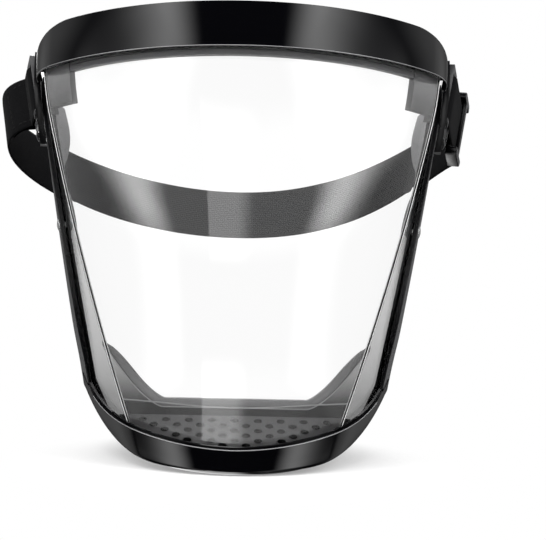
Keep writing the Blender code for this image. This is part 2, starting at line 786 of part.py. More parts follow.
def rim_height(x):
    """The top edge of the riser: level across the chin, then sweeping up to the wings."""
    run = max(0, abs(x) - RIM_FLAT_HALF_WIDTH) / (RIM_TIP_HALF_WIDTH - RIM_FLAT_HALF_WIDTH)
    return RISER_HEIGHT + RIM_TIP_RISE * run ** RIM_SWEEP


def wing_inside(depth, height):
    """The half width left between the wings at a depth and a height."""
    return level(u_at_depth(depth, height), height, LENS_INSIDE - 2 * CLEARANCE).x


def rim_columns():
    slope = [RIM_FLAT_HALF_WIDTH + (RIM_TIP_HALF_WIDTH - RIM_FLAT_HALF_WIDTH) * share
             for share in fractions(RIM_STEP_COUNT)]
    return [-x for x in reversed(slope)] + slope


def riser_depth():
    return PLATE_REAR_DEPTH + PLATE_THICKNESS


def chin_riser():
    front = riser_depth()
    rear_u = u_at_depth(front + RISER_THICKNESS, BAR_FRONT_TOP)
    foot = bar_top(rear_u) + 2 * CLEARANCE
    foot_width = level(CREASE_U, 0, bar_flange(CREASE_U)).x - CLEARANCE
    tip = rim_height(RIM_TIP_HALF_WIDTH)
    steps = 8
    side = []
    for i in range(steps + 1):
        height = foot + (tip - foot) * i / steps
        side.append((wing_inside(front, height), height))
    right = [(foot_width, 0), (foot_width, foot)] + side
    top = [(x, rim_height(x)) for x in reversed(rim_columns()) if x > -RIM_FLAT_HALF_WIDTH - MM]
    top = [point for point in top if abs(point[0]) < RIM_TIP_HALF_WIDTH - MM / 10]
    half = right + [point for point in top if point[0] > 0]
    outline = half + [(-x, z) for x, z in reversed(half)]
    curve = bpy.data.curves.new("chin_riser", "CURVE")
    curve.dimensions = "2D"
    curve.fill_mode = "BOTH"
    curve.extrude = RISER_THICKNESS / 2
    add_outline(curve, outline)
    curve.materials.append(material(BLACK_SATIN))
    item = bpy.data.objects.new("chin_riser", curve)
    parts.objects.link(item)
    item.location = (0, front + RISER_THICKNESS / 2 - ORIGIN_DEPTH, 0)
    item.rotation_euler = (math.pi / 2, 0, 0)
    return item


def chin_rim():
    """A soft trim that follows the top edge of the riser."""
    front = riser_depth() - ORIGIN_DEPTH
    sides = 8
    columns = [x for x in rim_columns() if abs(x) < RIM_TIP_HALF_WIDTH - MM]
    rings = []
    for x in columns:
        step = 0.5 * MM
        slope = (rim_height(x + step) - rim_height(x - step)) / (2 * step)
        rise = Vector((-slope, 0, 1)).normalized()
        centre = Vector((x, front + RIM_DEPTH / 2, rim_height(x)))
        centre += rise * (RIM_HEIGHT / 2 + 2 * CLEARANCE)
        ring = []
        for i in range(sides):
            turn = 2 * math.pi * (i + 0.5) / sides
            across = Vector((0, 1, 0)) * (RIM_DEPTH / 2 * math.cos(turn))
            ring.append(centre + across + rise * (RIM_HEIGHT / 2 * math.sin(turn)))
        rings.append(ring)
    return add_part("chin_rim", loft_mesh("chin_rim", rings), BLACK_SOFT)


class StrapPlane:
    """The flat plane of a lug's bent end on +X, in which the webbing leaves the shield."""

    def __init__(self):
        height = LUG_HEIGHT
        back = edge_at(height) - crease_at(height)
        back = Vector((back.x, back.y, 0)).normalized()
        normal = outward(1, height)
        back = (back - normal * back.dot(normal)).normalized()
        up = normal.cross(back)
        bent_back = back * math.cos(LUG_BEND) + normal * math.sin(LUG_BEND)
        self.normal = normal * math.cos(LUG_BEND) - back * math.sin(LUG_BEND)
        self.along = bent_back * math.cos(LUG_TILT) - up * math.sin(LUG_TILT)
        self.up = up * math.cos(LUG_TILT) + bent_back * math.sin(LUG_TILT)
        middle = (LUG_INNER + LUG_OUTER) / 2
        bend = level(u_at_depth(edge_at(height).y + LUG_BEND_REACH, height), height, middle)
        self.origin = bend + up * STRAP_RISE_ON_LUG + normal * (2 * CLEARANCE)

    def point(self, along, up, out):
        """out is measured from the middle of the lug's thickness."""
        return self.origin + self.along * along + self.up * up + self.normal * out

    def place(self, along, out, side):
        """Axes for a piece in this plane, or in its mirror image, where the up axis points down."""
        axes = (mirrored(self.along, side), mirrored(self.up, side) * side, mirrored(self.normal, side))
        turn = Matrix(axes).transposed().to_4x4()
        return Matrix.Translation(mirrored(self.point(along, 0, out), side)) @ turn


def slot_end():
    return SLOT_START + SLOT_WIDTH


def strap_lug(name, side, plane):
    half_slot = STRAP_WIDTH / 2 + 2 * CLEARANCE
    half_end = half_slot + LUG_BORDER
    rear = slot_end() + SLOT_BAR
    front_depth = edge_at(LUG_HEIGHT).y - LUG_FRONT_REACH

    def place(column, row, face):
        offset = LUG_INNER + LUG_THICKNESS * face
        if column <= 1:
            height = LUG_BOTTOM + (LUG_TOP - LUG_BOTTOM) * row
            front = max(u_at_depth(front_depth, height), BAND_END_U + LUG_GAP_TO_BAND_U)
            bend = plane.origin.y + ORIGIN_DEPTH + (height - plane.origin.z) * plane.up.y / plane.up.z
            rear_u = u_at_depth(bend - SLOT_START / 2, height)
            return mirrored(level(front + (rear_u - front) * column, height, offset), side)
        along = SLOT_START / 2 if column < 2.5 else rear
        out = offset - (LUG_INNER + LUG_OUTER) / 2
        return mirrored(plane.point(along, half_end * (2 * row - 1), out), side)

    mesh = slab_mesh(name, [0, 0.5, 1, 2, 3], fractions(6), place)
    item = add_part(name, mesh, BLACK_SATIN)
    deep = LUG_THICKNESS
    low = Vector((SLOT_START, -half_slot, -deep))
    high = Vector((slot_end(), half_slot, deep))
    cut(item, box_cutter(name + "_slot", plane.place(0, 0, side), low, high))
    return item


def strap_layer():
    """The distance of a webbing layer's middle from the middle of the lug's slot bar."""
    return LUG_THICKNESS / 2 + CLEARANCE + STRAP_THICKNESS / 2


def strap_half(plane, straight, side_pull, bow, back_pull):
    """Stations of half the webbing, drawn on +X, from its tail round the slot bar to the back of the head."""
    layer = strap_layer()
    turn_at = slot_end()
    stations = [(plane.point(turn_at + STRAP_TAIL, 0, -layer), -plane.along, plane.up)]
    turns = 8
    for i in range(turns + 1):
        angle = math.pi * i / turns
        along = turn_at - layer * math.sin(angle)
        out = -layer * math.cos(angle)
        heading = -plane.along * math.cos(angle) + plane.normal * math.sin(angle)
        stations.append((plane.point(along, 0, out), heading, plane.up))
    leave = plane.point(turn_at + SLOT_BAR + straight, 0, layer)
    back = Vector((0, STRAP_BACK_DEPTH - ORIGIN_DEPTH, STRAP_BACK_HEIGHT))
    swing = plane.along * side_pull + plane.normal * bow
    pull = [leave, leave + swing, back + Vector((back_pull, 0, 0)), back]
    steps = 18
    for i in range(steps + 1):
        t = i / steps
        r = 1 - t
        point = pull[0] * r ** 3 + pull[1] * 3 * r * r * t + pull[2] * 3 * r * t * t + pull[3] * t ** 3
        heading = (pull[1] - pull[0]) * r * r + (pull[2] - pull[1]) * 2 * r * t + (pull[3] - pull[2]) * t * t
        up = plane.up.lerp(Vector((0, 0, 1)), eased(t))
        heading = heading.normalized()
        up = (up - heading * up.dot(heading)).normalized()
        stations.append((point, heading, up))
    return stations


def head_strap(plane):
    rings = []
    left = strap_half(plane, STRAP_STRAIGHT_LEFT, STRAP_SIDE_PULL_LEFT, STRAP_BOW_LEFT, STRAP_BACK_PULL_LEFT)
    right = strap_half(plane, STRAP_STRAIGHT_RIGHT, STRAP_SIDE_PULL_RIGHT, STRAP_BOW_RIGHT,
                       STRAP_BACK_PULL_RIGHT)
    for side, run in ((-1, left), (1, list(reversed(right))[1:])):
        for point, heading, up in run:
            out = heading.cross(up).normalized() * (STRAP_THICKNESS / 2)
            edge = up * (STRAP_WIDTH / 2)
            ring = [point + edge + out, point - edge + out, point - edge - out, point + edge - out]
            rings.append([mirrored(corner, side) for corner in ring])
    return add_part("head_strap", loft_mesh("head_strap", rings), BLACK_WEB)


def strap_slider(plane):
    """A three-bar slide: its end bars pass inside the webbing and its middle bar outside."""
    half_length = SLIDER_LENGTH / 2
    web = STRAP_THICKNESS / 2 + CLEARANCE
    window = STRAP_WIDTH / 2 + 2 * CLEARANCE
    half_height = window + SLIDER_SIDE
    thick = web + SLIDER_BAR_THICKNESS
    bm = bmesh.new()
    bmesh.ops.create_cube(bm, size=1.0)
    bmesh.ops.scale(bm, vec=(SLIDER_LENGTH, 2 * half_height, 2 * thick), verts=bm.verts[:])
    corners = [edge for edge in bm.edges if abs(edge.verts[0].co.z - edge.verts[1].co.z) > thick]
    bmesh.ops.bevel(bm, geom=corners, offset=SLIDER_CORNER, segments=3, profile=0.5, affect="EDGES",
                    material=-1)
    item = add_part("strap_slider", mesh_from("strap_slider", bm), BLACK_SATIN)
    place = plane.place(slot_end() + SLOT_BAR + SLIDER_PLACE, strap_layer(), 1)
    item.matrix_world = place
    past = CUT_PAST
    passage = box_cutter("slider_passage", place, Vector((-half_length - past, -window, -web)),
                         Vector((half_length + past, window, web)))
    inner = box_cutter("slider_inner_window", place,
                       Vector((-half_length + SLIDER_BAR, -window, -thick - past)),
                       Vector((half_length - SLIDER_BAR, window, 0)))
    front = box_cutter("slider_front_window", place, Vector((-half_length - past, -window, 0)),
                       Vector((-SLIDER_BAR / 2, window, thick + past)))
    rear = box_cutter("slider_rear_window", place, Vector((SLIDER_BAR / 2, -window, 0)),
                      Vector((half_length + past, window, thick + past)))
    for cutter in (passage, inner, front, rear):
        cut(item, cutter)
    return item


def fit_rivet(name, point, axis, side, low, high, through, look):
    """A rivet through the named pieces, each drilled with the clearance."""
    place = axis_place(point, axis, side)
    drill = drill_cutter(name + "_hole", place, RIVET_RADIUS + CLEARANCE, low - CUT_PAST, high + CUT_PAST)
    for piece in through:
        cut(piece, drill)
    return turned(name, rivet_profile(low, high), place, look)


def lug_rivet(name, side, pieces):
    """A headed pin through the lug into the outer wall of the side rail, short of the lens."""
    u = u_behind_edge(-CHANNEL_RIVET_INSET, LUG_RIVET_HEIGHT)
    place = axis_place(section(u, LUG_RIVET_HEIGHT), outward(u, LUG_RIVET_HEIGHT), side)
    tip = LENS_OUTSIDE + 2 * CLEARANCE
    head = LUG_OUTER + CLEARANCE
    drill = drill_cutter(name + "_hole", place, RIVET_RADIUS + CLEARANCE, LENS_OUTSIDE, head + CUT_PAST)
    for piece in pieces:
        cut(piece, drill)
    bulge = 0.7
    profile = [
        (0, head + RIVET_HEAD_HEIGHT),
        (RIVET_HEAD_RADIUS * bulge, head + RIVET_HEAD_HEIGHT * bulge),
        (RIVET_HEAD_RADIUS, head),
        (RIVET_RADIUS, head),
        (RIVET_RADIUS, tip),
        (0, tip),
    ]
    return turned(name, profile, place, BLACK_SATIN)


def brow_peg(name, side, pieces):
    """A headed peg from the tab through the lens into a blind hole in the band."""
    point = section(PEG_U, PEG_HEIGHT)
    axis = outward(PEG_U, PEG_HEIGHT)
    place = axis_place(point, axis, side)
    tip = BAND_OUTER - PEG_BLIND_WALL
    drill = drill_cutter(name + "_hole", place, RIVET_RADIUS + CLEARANCE, RAIL_INNER - CUT_PAST, tip)
    for piece in pieces:
        cut(piece, drill)
    head = RAIL_INNER - CLEARANCE
    profile = [
        (0, tip - CLEARANCE),
        (RIVET_RADIUS, tip - CLEARANCE),
        (RIVET_RADIUS, head),
        (RIVET_HEAD_RADIUS, head),
        (RIVET_HEAD_RADIUS, head - RIVET_HEAD_HEIGHT / 2),
        (RIVET_HEAD_RADIUS * 0.7, head - RIVET_HEAD_HEIGHT),
        (0, head - RIVET_HEAD_HEIGHT),
    ]
    return turned(name, profile, place, BLACK_SATIN)


def build():
    start_scene()
    lens = visor_lens()
    band = brow_band()
    brow_rail()
    chin_bar()
    vent_plate()
    chin_riser()
    chin_rim()
    plane = StrapPlane()
    for word, side in (("left", -1), ("right", 1)):
        tab = temple_tab(word + "_temple_tab", side)
        rail = side_rail(word + "_side_rail", side)
        arm = cheek_arm(word + "_cheek_arm", side)
        lug = strap_lug(word + "_strap_lug", side, plane)
        brow_peg(word + "_brow_peg", side, (tab, lens, band))
        snap_u = u_behind_edge(-CHANNEL_RIVET_INSET, SNAP_HEIGHT)
        fit_rivet(word + "_lens_snap", section(snap_u, SNAP_HEIGHT), outward(snap_u, SNAP_HEIGHT), side,
                  CHANNEL_INNER_FACE - CLEARANCE, CHANNEL_OUTER_FACE + CLEARANCE, (lens, rail), CLEAR_PC)
        lug_rivet(word + "_lug_rivet", side, (rail, lug))
        arm_u = u_behind_edge(ARM_RIVET_REACH, ARM_RIVET_HEIGHT)
        fit_rivet(word + "_arm_rivet", section(arm_u, ARM_RIVET_HEIGHT), outward(arm_u, ARM_RIVET_HEIGHT),
                  side, -ARM_THICKNESS / 2 - CLEARANCE, LUG_OUTER + CLEARANCE, (arm, lug), BLACK_SATIN)
    head_strap(plane)
    strap_slider(plane)


build()
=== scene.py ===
import math
import bmesh
import bpy
from mathutils import Matrix, Vector


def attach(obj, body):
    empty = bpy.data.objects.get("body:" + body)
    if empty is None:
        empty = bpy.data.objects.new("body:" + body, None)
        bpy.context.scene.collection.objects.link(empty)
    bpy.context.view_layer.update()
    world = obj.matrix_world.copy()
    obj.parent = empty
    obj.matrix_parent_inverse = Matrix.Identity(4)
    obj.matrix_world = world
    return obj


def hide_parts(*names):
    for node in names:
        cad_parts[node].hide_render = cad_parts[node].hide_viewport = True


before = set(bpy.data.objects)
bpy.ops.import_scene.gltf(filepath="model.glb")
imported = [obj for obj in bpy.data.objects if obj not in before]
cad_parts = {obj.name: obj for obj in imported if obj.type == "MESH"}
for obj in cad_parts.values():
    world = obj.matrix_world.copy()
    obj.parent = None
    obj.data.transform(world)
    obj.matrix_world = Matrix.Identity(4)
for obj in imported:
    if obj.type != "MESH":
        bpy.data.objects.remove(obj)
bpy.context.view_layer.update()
mm = 0.001
print("frame loaded,", len(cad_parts), "nodes")


def hexColour(code):
    channels = [int(code[i:i + 2], 16) / 255 for i in (1, 3, 5)]
    return [c / 12.92 if c <= 0.04045 else ((c + 0.055) / 1.055) ** 2.4 for c in channels] + [1.0]


def addNode(tree, kind, settings=None, links=None):
    node = tree.nodes.new(kind)
    for key, value in (settings or {}).items():
        if isinstance(key, int) or key in node.inputs:
            node.inputs[key].default_value = value
        else:
            setattr(node, key, value)
    for key, source in (links or {}).items():
        tree.links.new(source, node.inputs[key])
    return node


def newMaterial(name, colour, roughness, ior):
    made = bpy.data.materials.new(name)
    made.use_nodes = True
    shader = made.node_tree.nodes["Principled BSDF"]
    shader.inputs["Base Color"].default_value = hexColour(colour)
    shader.inputs["Roughness"].default_value = roughness
    shader.inputs["IOR"].default_value = ior
    return made, made.node_tree, shader


# a moulded skin: roughness drifts over a few centimetres, and a fine grain lifts the surface
def mouldedSkin(tree, shader, roughness, drift, grain, depth):
    place = addNode(tree, "ShaderNodeTexCoord")
    broad = addNode(tree, "ShaderNodeTexNoise", {"Scale": 1 / (drift * mm), "Detail": 3.0},
                    {"Vector": place.outputs["Object"]})
    rough = addNode(tree, "ShaderNodeMapRange", {"From Min": 0.3, "From Max": 0.7, "To Min": roughness[0],
                                                 "To Max": roughness[1]}, {"Value": broad.outputs["Fac"]})
    fine = addNode(tree, "ShaderNodeTexNoise", {"Scale": 1 / (grain * mm), "Detail": 2.0},
                   {"Vector": place.outputs["Object"]})
    bump = addNode(tree, "ShaderNodeBump", {"Strength": 0.35, "Distance": depth * mm},
                   {"Height": fine.outputs["Fac"]})
    tree.links.new(rough.outputs["Result"], shader.inputs["Roughness"])
    tree.links.new(bump.outputs["Normal"], shader.inputs["Normal"])


# painted sheen: a base colour that pales where the eye looks along the surface, standing in for the reflection seen
# there
def paintSheenAtGrazing(tree, shader, span, colours):
    slant = addNode(tree, "ShaderNodeLayerWeight", {"Blend": 0.5})
    grazingSheen = addNode(tree, "ShaderNodeMapRange", {"interpolation_type": "SMOOTHSTEP", "From Min": span[0],
                                                 "From Max": span[1]}, {"Value": slant.outputs["Facing"]})
    skin = addNode(tree, "ShaderNodeValToRGB", None, {"Fac": grazingSheen.outputs["Result"]})
    for stop, colour in zip(skin.color_ramp.elements, colours):
        stop.color = hexColour(colour)
    tree.links.new(skin.outputs["Color"], shader.inputs["Base Color"])


# painted light and shade: a colour that changes with height, between two levels in millimetres
def paintedLightByHeight(tree, shader, low, high):
    place = addNode(tree, "ShaderNodeTexCoord")
    axes = addNode(tree, "ShaderNodeSeparateXYZ", None, {"Vector": place.outputs["Object"]})
    climb = addNode(tree, "ShaderNodeMapRange", {"From Min": low * mm, "From Max": high * mm},
                    {"Value": axes.outputs["Z"]})
    ramp = addNode(tree, "ShaderNodeValToRGB", None, {"Fac": climb.outputs["Result"]})
    tree.links.new(ramp.outputs["Color"], shader.inputs["Base Color"])
    return ramp.color_ramp.elements


# gloss black ABS, moulded in a polished tool: near black, sharp reflections with a faint orange peel
glossAbs, tree, shader = newMaterial("glossBlackAbs", "#020203", 0.06, 1.5)
mouldedSkin(tree, shader, (0.04, 0.08), 35, 3.5, 0.01)

# satin black ABS from a lightly blasted tool: the same black, reflections spread, with a painted sheen greying it along
# the surface
satinAbs, tree, shader = newMaterial("satinBlackAbs", "#040405", 0.3, 1.5)
mouldedSkin(tree, shader, (0.22, 0.32), 25, 0.9, 0.012)  # the grain is 0.2 mm in life, coarser here to show
shader.inputs["Specular IOR Level"].default_value = 0.15
paintSheenAtGrazing(tree, shader, (0.4, 0.8), ("#040405", "#4a4a4b"))

# grey ABS with a spark-eroded skin in the brow rail and its tabs, with painted light paling it upwards to the band and
# painted shade darker below
railAbs, tree, shader = newMaterial("greyRailAbs", "#8c8c8d", 0.4, 1.5)
mouldedSkin(tree, shader, (0.34, 0.48), 20, 0.8, 0.04)
stops = paintedLightByHeight(tree, shader, 155, 176)
stops[0].color = hexColour("#4c4c4d")
stops[1].color = hexColour("#a4a4a5")

# the same grey in the vent plate, whose tool was blasted coarser
plateAbs, tree, shader = newMaterial("greyVentAbs", "#5c5c5d", 0.5, 1.5)
mouldedSkin(tree, shader, (0.42, 0.55), 12, 0.6, 0.02)

# painted shade: the walls of its holes coloured near black, where little light falls
holeWallPaintedShade, tree, shader = newMaterial("ventHoleWallShadePainted", "#040405", 0.6, 1.5)
mouldedSkin(tree, shader, (0.5, 0.65), 12, 0.6, 0.02)
shader.inputs["Specular IOR Level"].default_value = 0.1

# black ABS of the riser, smooth, with painted shade dark under the plate and painted light paler up the gussets where
# light comes in behind
riserPaintedShading, tree, shader = newMaterial("blackRiserAbsShadingPainted", "#1c1c1d", 0.5, 1.5)
mouldedSkin(tree, shader, (0.45, 0.6), 15, 0.6, 0.004)
shader.inputs["Specular IOR Level"].default_value = 0.1
stops = paintedLightByHeight(tree, shader, 0, 50)
for at, colour in ((0.28, "#020203"), (0.36, "#0a0a0b"), (0.46, "#0e0e0f"), (0.52, "#1e1e1f"), (1, "#0a0a0b")):
    stop = stops.new(at)
    stop.color = hexColour(colour)
stops.remove(stops[0])

# painted highlight: pale lines along the edges of the riser and the rim, seen through the lens
riserEdgePaintedHighlight, tree, shader = newMaterial("burnishedRiserEdge", "#b4b4b5", 0.35, 1.5)
mouldedSkin(tree, shader, (0.3, 0.4), 20, 0.8, 0.01)

# soft black thermoplastic elastomer: dull, with a painted sheen that greys it at grazing angles
softTpe, tree, shader = newMaterial("blackSoftTpe", "#0c0c0d", 0.6, 1.48)
mouldedSkin(tree, shader, (0.52, 0.7), 18, 0.8, 0.04)
shader.inputs["Sheen Weight"].default_value = 0.05
shader.inputs["Sheen Roughness"].default_value = 0.4
shader.inputs["Specular IOR Level"].default_value = 0.1
paintSheenAtGrazing(tree, shader, (0.6, 0.95), ("#0c0c0d", "#6e6e6f"))

# soft grey elastomer of the chin rim: paler and slightly oily
rimTpe, tree, shader = newMaterial("greySoftTpe", "#7d7d7e", 0.45, 1.48)
mouldedSkin(tree, shader, (0.38, 0.52), 15, 1.2, 0.05)

# clear polycarbonate sheet: all transmission, with painted shade greying it where the eye looks along it, darker lower
# down
clearPc, tree, shader = newMaterial("clearPolycarbonate", "#ffffff", 0.01, 1.5)
shader.inputs["Transmission Weight"].default_value = 1.0
place = addNode(tree, "ShaderNodeTexCoord")
haze = addNode(tree, "ShaderNodeTexNoise", {"Scale": 1 / (30 * mm), "Detail": 4.0},
               {"Vector": place.outputs["Object"]})
rough = addNode(tree, "ShaderNodeMapRange", {"From Min": 0.35, "From Max": 0.75, "To Min": 0.004, "To Max": 0.02},
                {"Value": haze.outputs["Fac"]})
tree.links.new(rough.outputs["Result"], shader.inputs["Roughness"])
slant = addNode(tree, "ShaderNodeLayerWeight", {"Blend": 0.5})
along = addNode(tree, "ShaderNodeMapRange", {"interpolation_type": "SMOOTHSTEP", "From Min": 0.42, "From Max": 0.6},
                {"Value": slant.outputs["Facing"]})
axes = addNode(tree, "ShaderNodeSeparateXYZ", None, {"Vector": place.outputs["Object"]})
# painted shade: the grey deepens towards the bottom of the sheet
grey = addNode(tree, "ShaderNodeMapRange", {"From Min": 30 * mm, "From Max": 85 * mm, "To Min": 0.1, "To Max": 0.72},
               {"Value": axes.outputs["Z"]})
grazingPaintedGrey = addNode(tree, "ShaderNodeMix", {"data_type": "FLOAT", 2: 1.0},
               {0: along.outputs["Result"], 3: grey.outputs["Result"]})
tree.links.new(grazingPaintedGrey.outputs[0], shader.inputs["Base Color"])

# moulded clear pins: the same resin with a duller skin
clearPin, tree, shader = newMaterial("clearMouldedPin", "#f2f4f4", 0.12, 1.58)
mouldedSkin(tree, shader, (0.08, 0.16), 6, 0.7, 0.02)
shader.inputs["Transmission Weight"].default_value = 0.8

# the heat-formed crease: a painted highlight, resin coloured white to make the bright line along the fold
creasePaintedHighlight, tree, shader = newMaterial("polycarbonateCreaseHighlightPainted", "#ffffff", 0.25, 1.5)
mouldedSkin(tree, shader, (0.2, 0.3), 8, 0.8, 0.02)
shader.inputs["Transmission Weight"].default_value = 0.25

# the resin beside the crease, where the sheet bends steeply: painted shade, resin coloured grey to make the dark line
# there
foldPaintedShade, tree, shader = newMaterial("polycarbonateFoldShadePainted", "#6d6e6e", 0.15, 1.5)
mouldedSkin(tree, shader, (0.1, 0.2), 8, 0.8, 0.02)
shader.inputs["Transmission Weight"].default_value = 0.5

# painted highlight: the thin pale lines along the edges of the black mouldings
mouldingEdgePaintedHighlight, tree, shader = newMaterial("burnishedAbsEdge", "#6e6e6f", 0.25, 1.5)
mouldedSkin(tree, shader, (0.2, 0.32), 20, 0.8, 0.02)

# woven polyester webbing: dull black yarn, ribs across the strap and floats along it
webbing, tree, shader = newMaterial("blackPolyesterWebbing", "#0d0d0e", 0.85, 1.46)
weave = dict(floatLength=2.4, yarnPitch=1.1)  # mm, a little coarse so that it shows
place = addNode(tree, "ShaderNodeTexCoord")
floats = addNode(tree, "ShaderNodeTexBrick", {"offset": 0.5, "Color1": (1, 1, 1, 1), "Color2": (0.8, 0.8, 0.8, 1),
                                              "Mortar": (0, 0, 0, 1), "Scale": 1.0, "Mortar Size": 0.2,
                                              "Mortar Smooth": 1.0, "Brick Width": weave["floatLength"],
                                              "Row Height": weave["yarnPitch"]},
                 {"Vector": place.outputs["UV"]})
fuzz = addNode(tree, "ShaderNodeTexNoise", {"Scale": 1 / (0.9 * mm), "Detail": 3.0},
               {"Vector": place.outputs["Object"]})
height = addNode(tree, "ShaderNodeMath", {"operation": "MULTIPLY_ADD", 1: 0.35},
                 {0: fuzz.outputs["Fac"], 2: floats.outputs["Color"]})
bump = addNode(tree, "ShaderNodeBump", {"Strength": 0.5, "Distance": 0.15 * mm}, {"Height": height.outputs["Value"]})
shade = addNode(tree, "ShaderNodeValToRGB", None, {"Fac": floats.outputs["Color"]})
shade.color_ramp.elements[0].color = hexColour("#020203")
shade.color_ramp.elements[1].color = hexColour("#0b0b0c")
tree.links.new(shade.outputs["Color"], shader.inputs["Base Color"])
tree.links.new(bump.outputs["Normal"], shader.inputs["Normal"])
shader.inputs["Sheen Weight"].default_value = 0.02
shader.inputs["Sheen Roughness"].default_value = 0.5
shader.inputs["Specular IOR Level"].default_value = 0.06

# bonded polyester sewing thread: twisted, so its gloss breaks into short bars
thread, tree, shader = newMaterial("blackSewingThread", "#0e0e0f", 0.6, 1.46)
place = addNode(tree, "ShaderNodeTexCoord")
twist = addNode(tree, "ShaderNodeTexWave", {"bands_direction": "DIAGONAL", "Scale": 1 / (0.8 * mm) / 20},
                {"Vector": place.outputs["Object"]})
bump = addNode(tree, "ShaderNodeBump", {"Strength": 0.6, "Distance": 0.1 * mm}, {"Height": twist.outputs["Fac"]})
tree.links.new(bump.outputs["Normal"], shader.inputs["Normal"])
shader.inputs["Specular IOR Level"].default_value = 0.15
print("materials done")


# the lens surface, in millimetres: three stations up the face, depths from the foremost point
lensForm = dict(stations=(8, 90, 165), frontDepth=(14, 0, 21), creaseHalf=(41, 66.3, 88.5),
                creaseDepth=(31, 31, 64), edgeHalf=(61, 75.3, 93), edgeDepth=(70, 62, 102), creaseU=0.7,
                tuckStart=150, tuck=6.5, browTop=200, originDepth=20.75 - 3.25)


def throughStations(height, values):
    a, b, c = lensForm["stations"]
    return (values[0] * (height - b) * (height - c) / ((a - b) * (a - c))
            + values[1] * (height - a) * (height - c) / ((b - a) * (b - c))
            + values[2] * (height - a) * (height - b) / ((c - a) * (c - b)))


def drawnIn(height):
    rise = max(0, height - lensForm["tuckStart"]) / (lensForm["browTop"] - lensForm["tuckStart"])
    return lensForm["tuck"] * rise ** 2


def creaseAt(height):
    return Vector((throughStations(height, lensForm["creaseHalf"]) - drawnIn(height),
                   throughStations(height, lensForm["creaseDepth"])))


def edgeAt(height):
    return Vector((throughStations(height, lensForm["edgeHalf"]) - drawnIn(height),
                   throughStations(height, lensForm["edgeDepth"])))


def lensPoint(u, height):
    crease = creaseAt(height)
    if abs(u) <= lensForm["creaseU"]:
        front = throughStations(height, lensForm["frontDepth"])
        sagitta = crease.y - front
        radius = (crease.x ** 2 + sagitta ** 2) / (2 * sagitta)
        angle = math.asin(crease.x / radius) * abs(u) / lensForm["creaseU"]
        x, y = radius * math.sin(angle), front + radius * (1 - math.cos(angle))
    else:
        x, y = crease.lerp(edgeAt(height), (abs(u) - lensForm["creaseU"]) / (1 - lensForm["creaseU"]))
    return Vector((math.copysign(x, u), y - lensForm["originDepth"], height))


def outwardAt(u, height):
    along = lensPoint(u + 0.002, height) - lensPoint(u - 0.002, height)
    upward = lensPoint(u, height + 0.2) - lensPoint(u, height - 0.2)
    return along.cross(upward).normalized()


def levelPoint(u, height, offset):
    normal = outwardAt(u, height)
    flat = Vector((normal.x, normal.y, 0))
    return lensPoint(u, height) + flat * (offset / flat.length_squared)


def softPoint(u, height, offset):
    # as levelPoint, with the fold of the sheet rounded off as the mouldings round it off
    spread = [levelPoint(u + shift, height, offset) for shift in steps(-0.07, 0.07, 6)]
    return sum(spread, Vector()) / len(spread)


def uBehindEdge(reach, height):
    wing = (edgeAt(height) - creaseAt(height)).length
    return 1 + (1 - lensForm["creaseU"]) * reach / wing


def uAtDepth(depth, height):
    crease, edge = creaseAt(height), edgeAt(height)
    return lensForm["creaseU"] + (1 - lensForm["creaseU"]) * (depth - crease.y) / (edge.y - crease.y)


def onSide(point, side):
    return Vector((side * point.x, point.y, point.z))


def steps(low, high, count):
    return [low + (high - low) * i / count for i in range(count + 1)]


def smoothStep(low, high, value):
    t = min(1, max(0, (value - low) / (high - low)))  # also runs downwards, with low above high
    return t * t * (3 - 2 * t)


# one finished piece: smooth shading, rounded edges, its material, its CAD node and body
def finishPiece(name, bm, material, nodes, round=0, segments=3, body="frame", angle=32):
    mesh = bpy.data.meshes.new(name)
    bm.to_mesh(mesh)
    bm.free()
    mesh.shade_smooth()
    mesh.materials.append(material)
    piece = bpy.data.objects.new(name, mesh)
    bpy.context.scene.collection.objects.link(piece)
    if round:
        bevel = piece.modifiers.new("roundedEdges", "BEVEL")
        bevel.width = round * mm
        bevel.segments = segments
        bevel.limit_method = "ANGLE"
        bevel.angle_limit = math.radians(angle)
        bevel.harden_normals = True
    else:
        mesh.set_sharp_from_angle(angle=math.radians(angle))
    if nodes:
        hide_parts(*nodes)
    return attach(piece, body)


# a solid swept through closed sections: a grid wrapped round them, its seam merged and its ends filled
def sweepSections(sections, withUv=False):
    bm = bmesh.new()
    along, around = len(sections) - 1, len(sections[0])
    bmesh.ops.create_grid(bm, x_segments=along, y_segments=around, size=1.0)
    if withUv:
        # the pattern's own coordinates, in millimetres along the run and around the section
        run, girth = [0], [0]
        for near, far in zip(sections, sections[1:]):
            run.append(run[-1] + sum((b - a).length for a, b in zip(near, far)) / around)
        ring = sections[0] + sections[0][:1]
        for near, far in zip(ring, ring[1:]):
            girth.append(girth[-1] + (far - near).length)
        layer = bm.loops.layers.uv.new("weave")
        for face in bm.faces:
            for loop in face.loops:
                place = loop.vert.co
                loop[layer].uv = (run[round((place.x + 1) / 2 * along)], girth[round((place.y + 1) / 2 * around)])
    for vert in bm.verts:
        section = sections[round((vert.co.x + 1) / 2 * along)]
        vert.co = section[round((vert.co.y + 1) / 2 * around) % around] * mm
    bmesh.ops.remove_doubles(bm, verts=bm.verts[:], dist=1e-7)
    bmesh.ops.holes_fill(bm, edges=[edge for edge in bm.edges if edge.is_boundary], sides=0)
    bmesh.ops.recalc_face_normals(bm, faces=bm.faces[:])
    return bm


# a CAD solid with its loose triangles merged into whole faces, ready to have its edges rounded
def mergedCopy(node):
    bm = bmesh.new()
    bm.from_mesh(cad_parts[node].data)
    bmesh.ops.remove_doubles(bm, verts=bm.verts[:], dist=1e-6)
    bmesh.ops.dissolve_limit(bm, angle_limit=math.radians(0.6), verts=bm.verts[:], edges=bm.edges[:])
    return bm


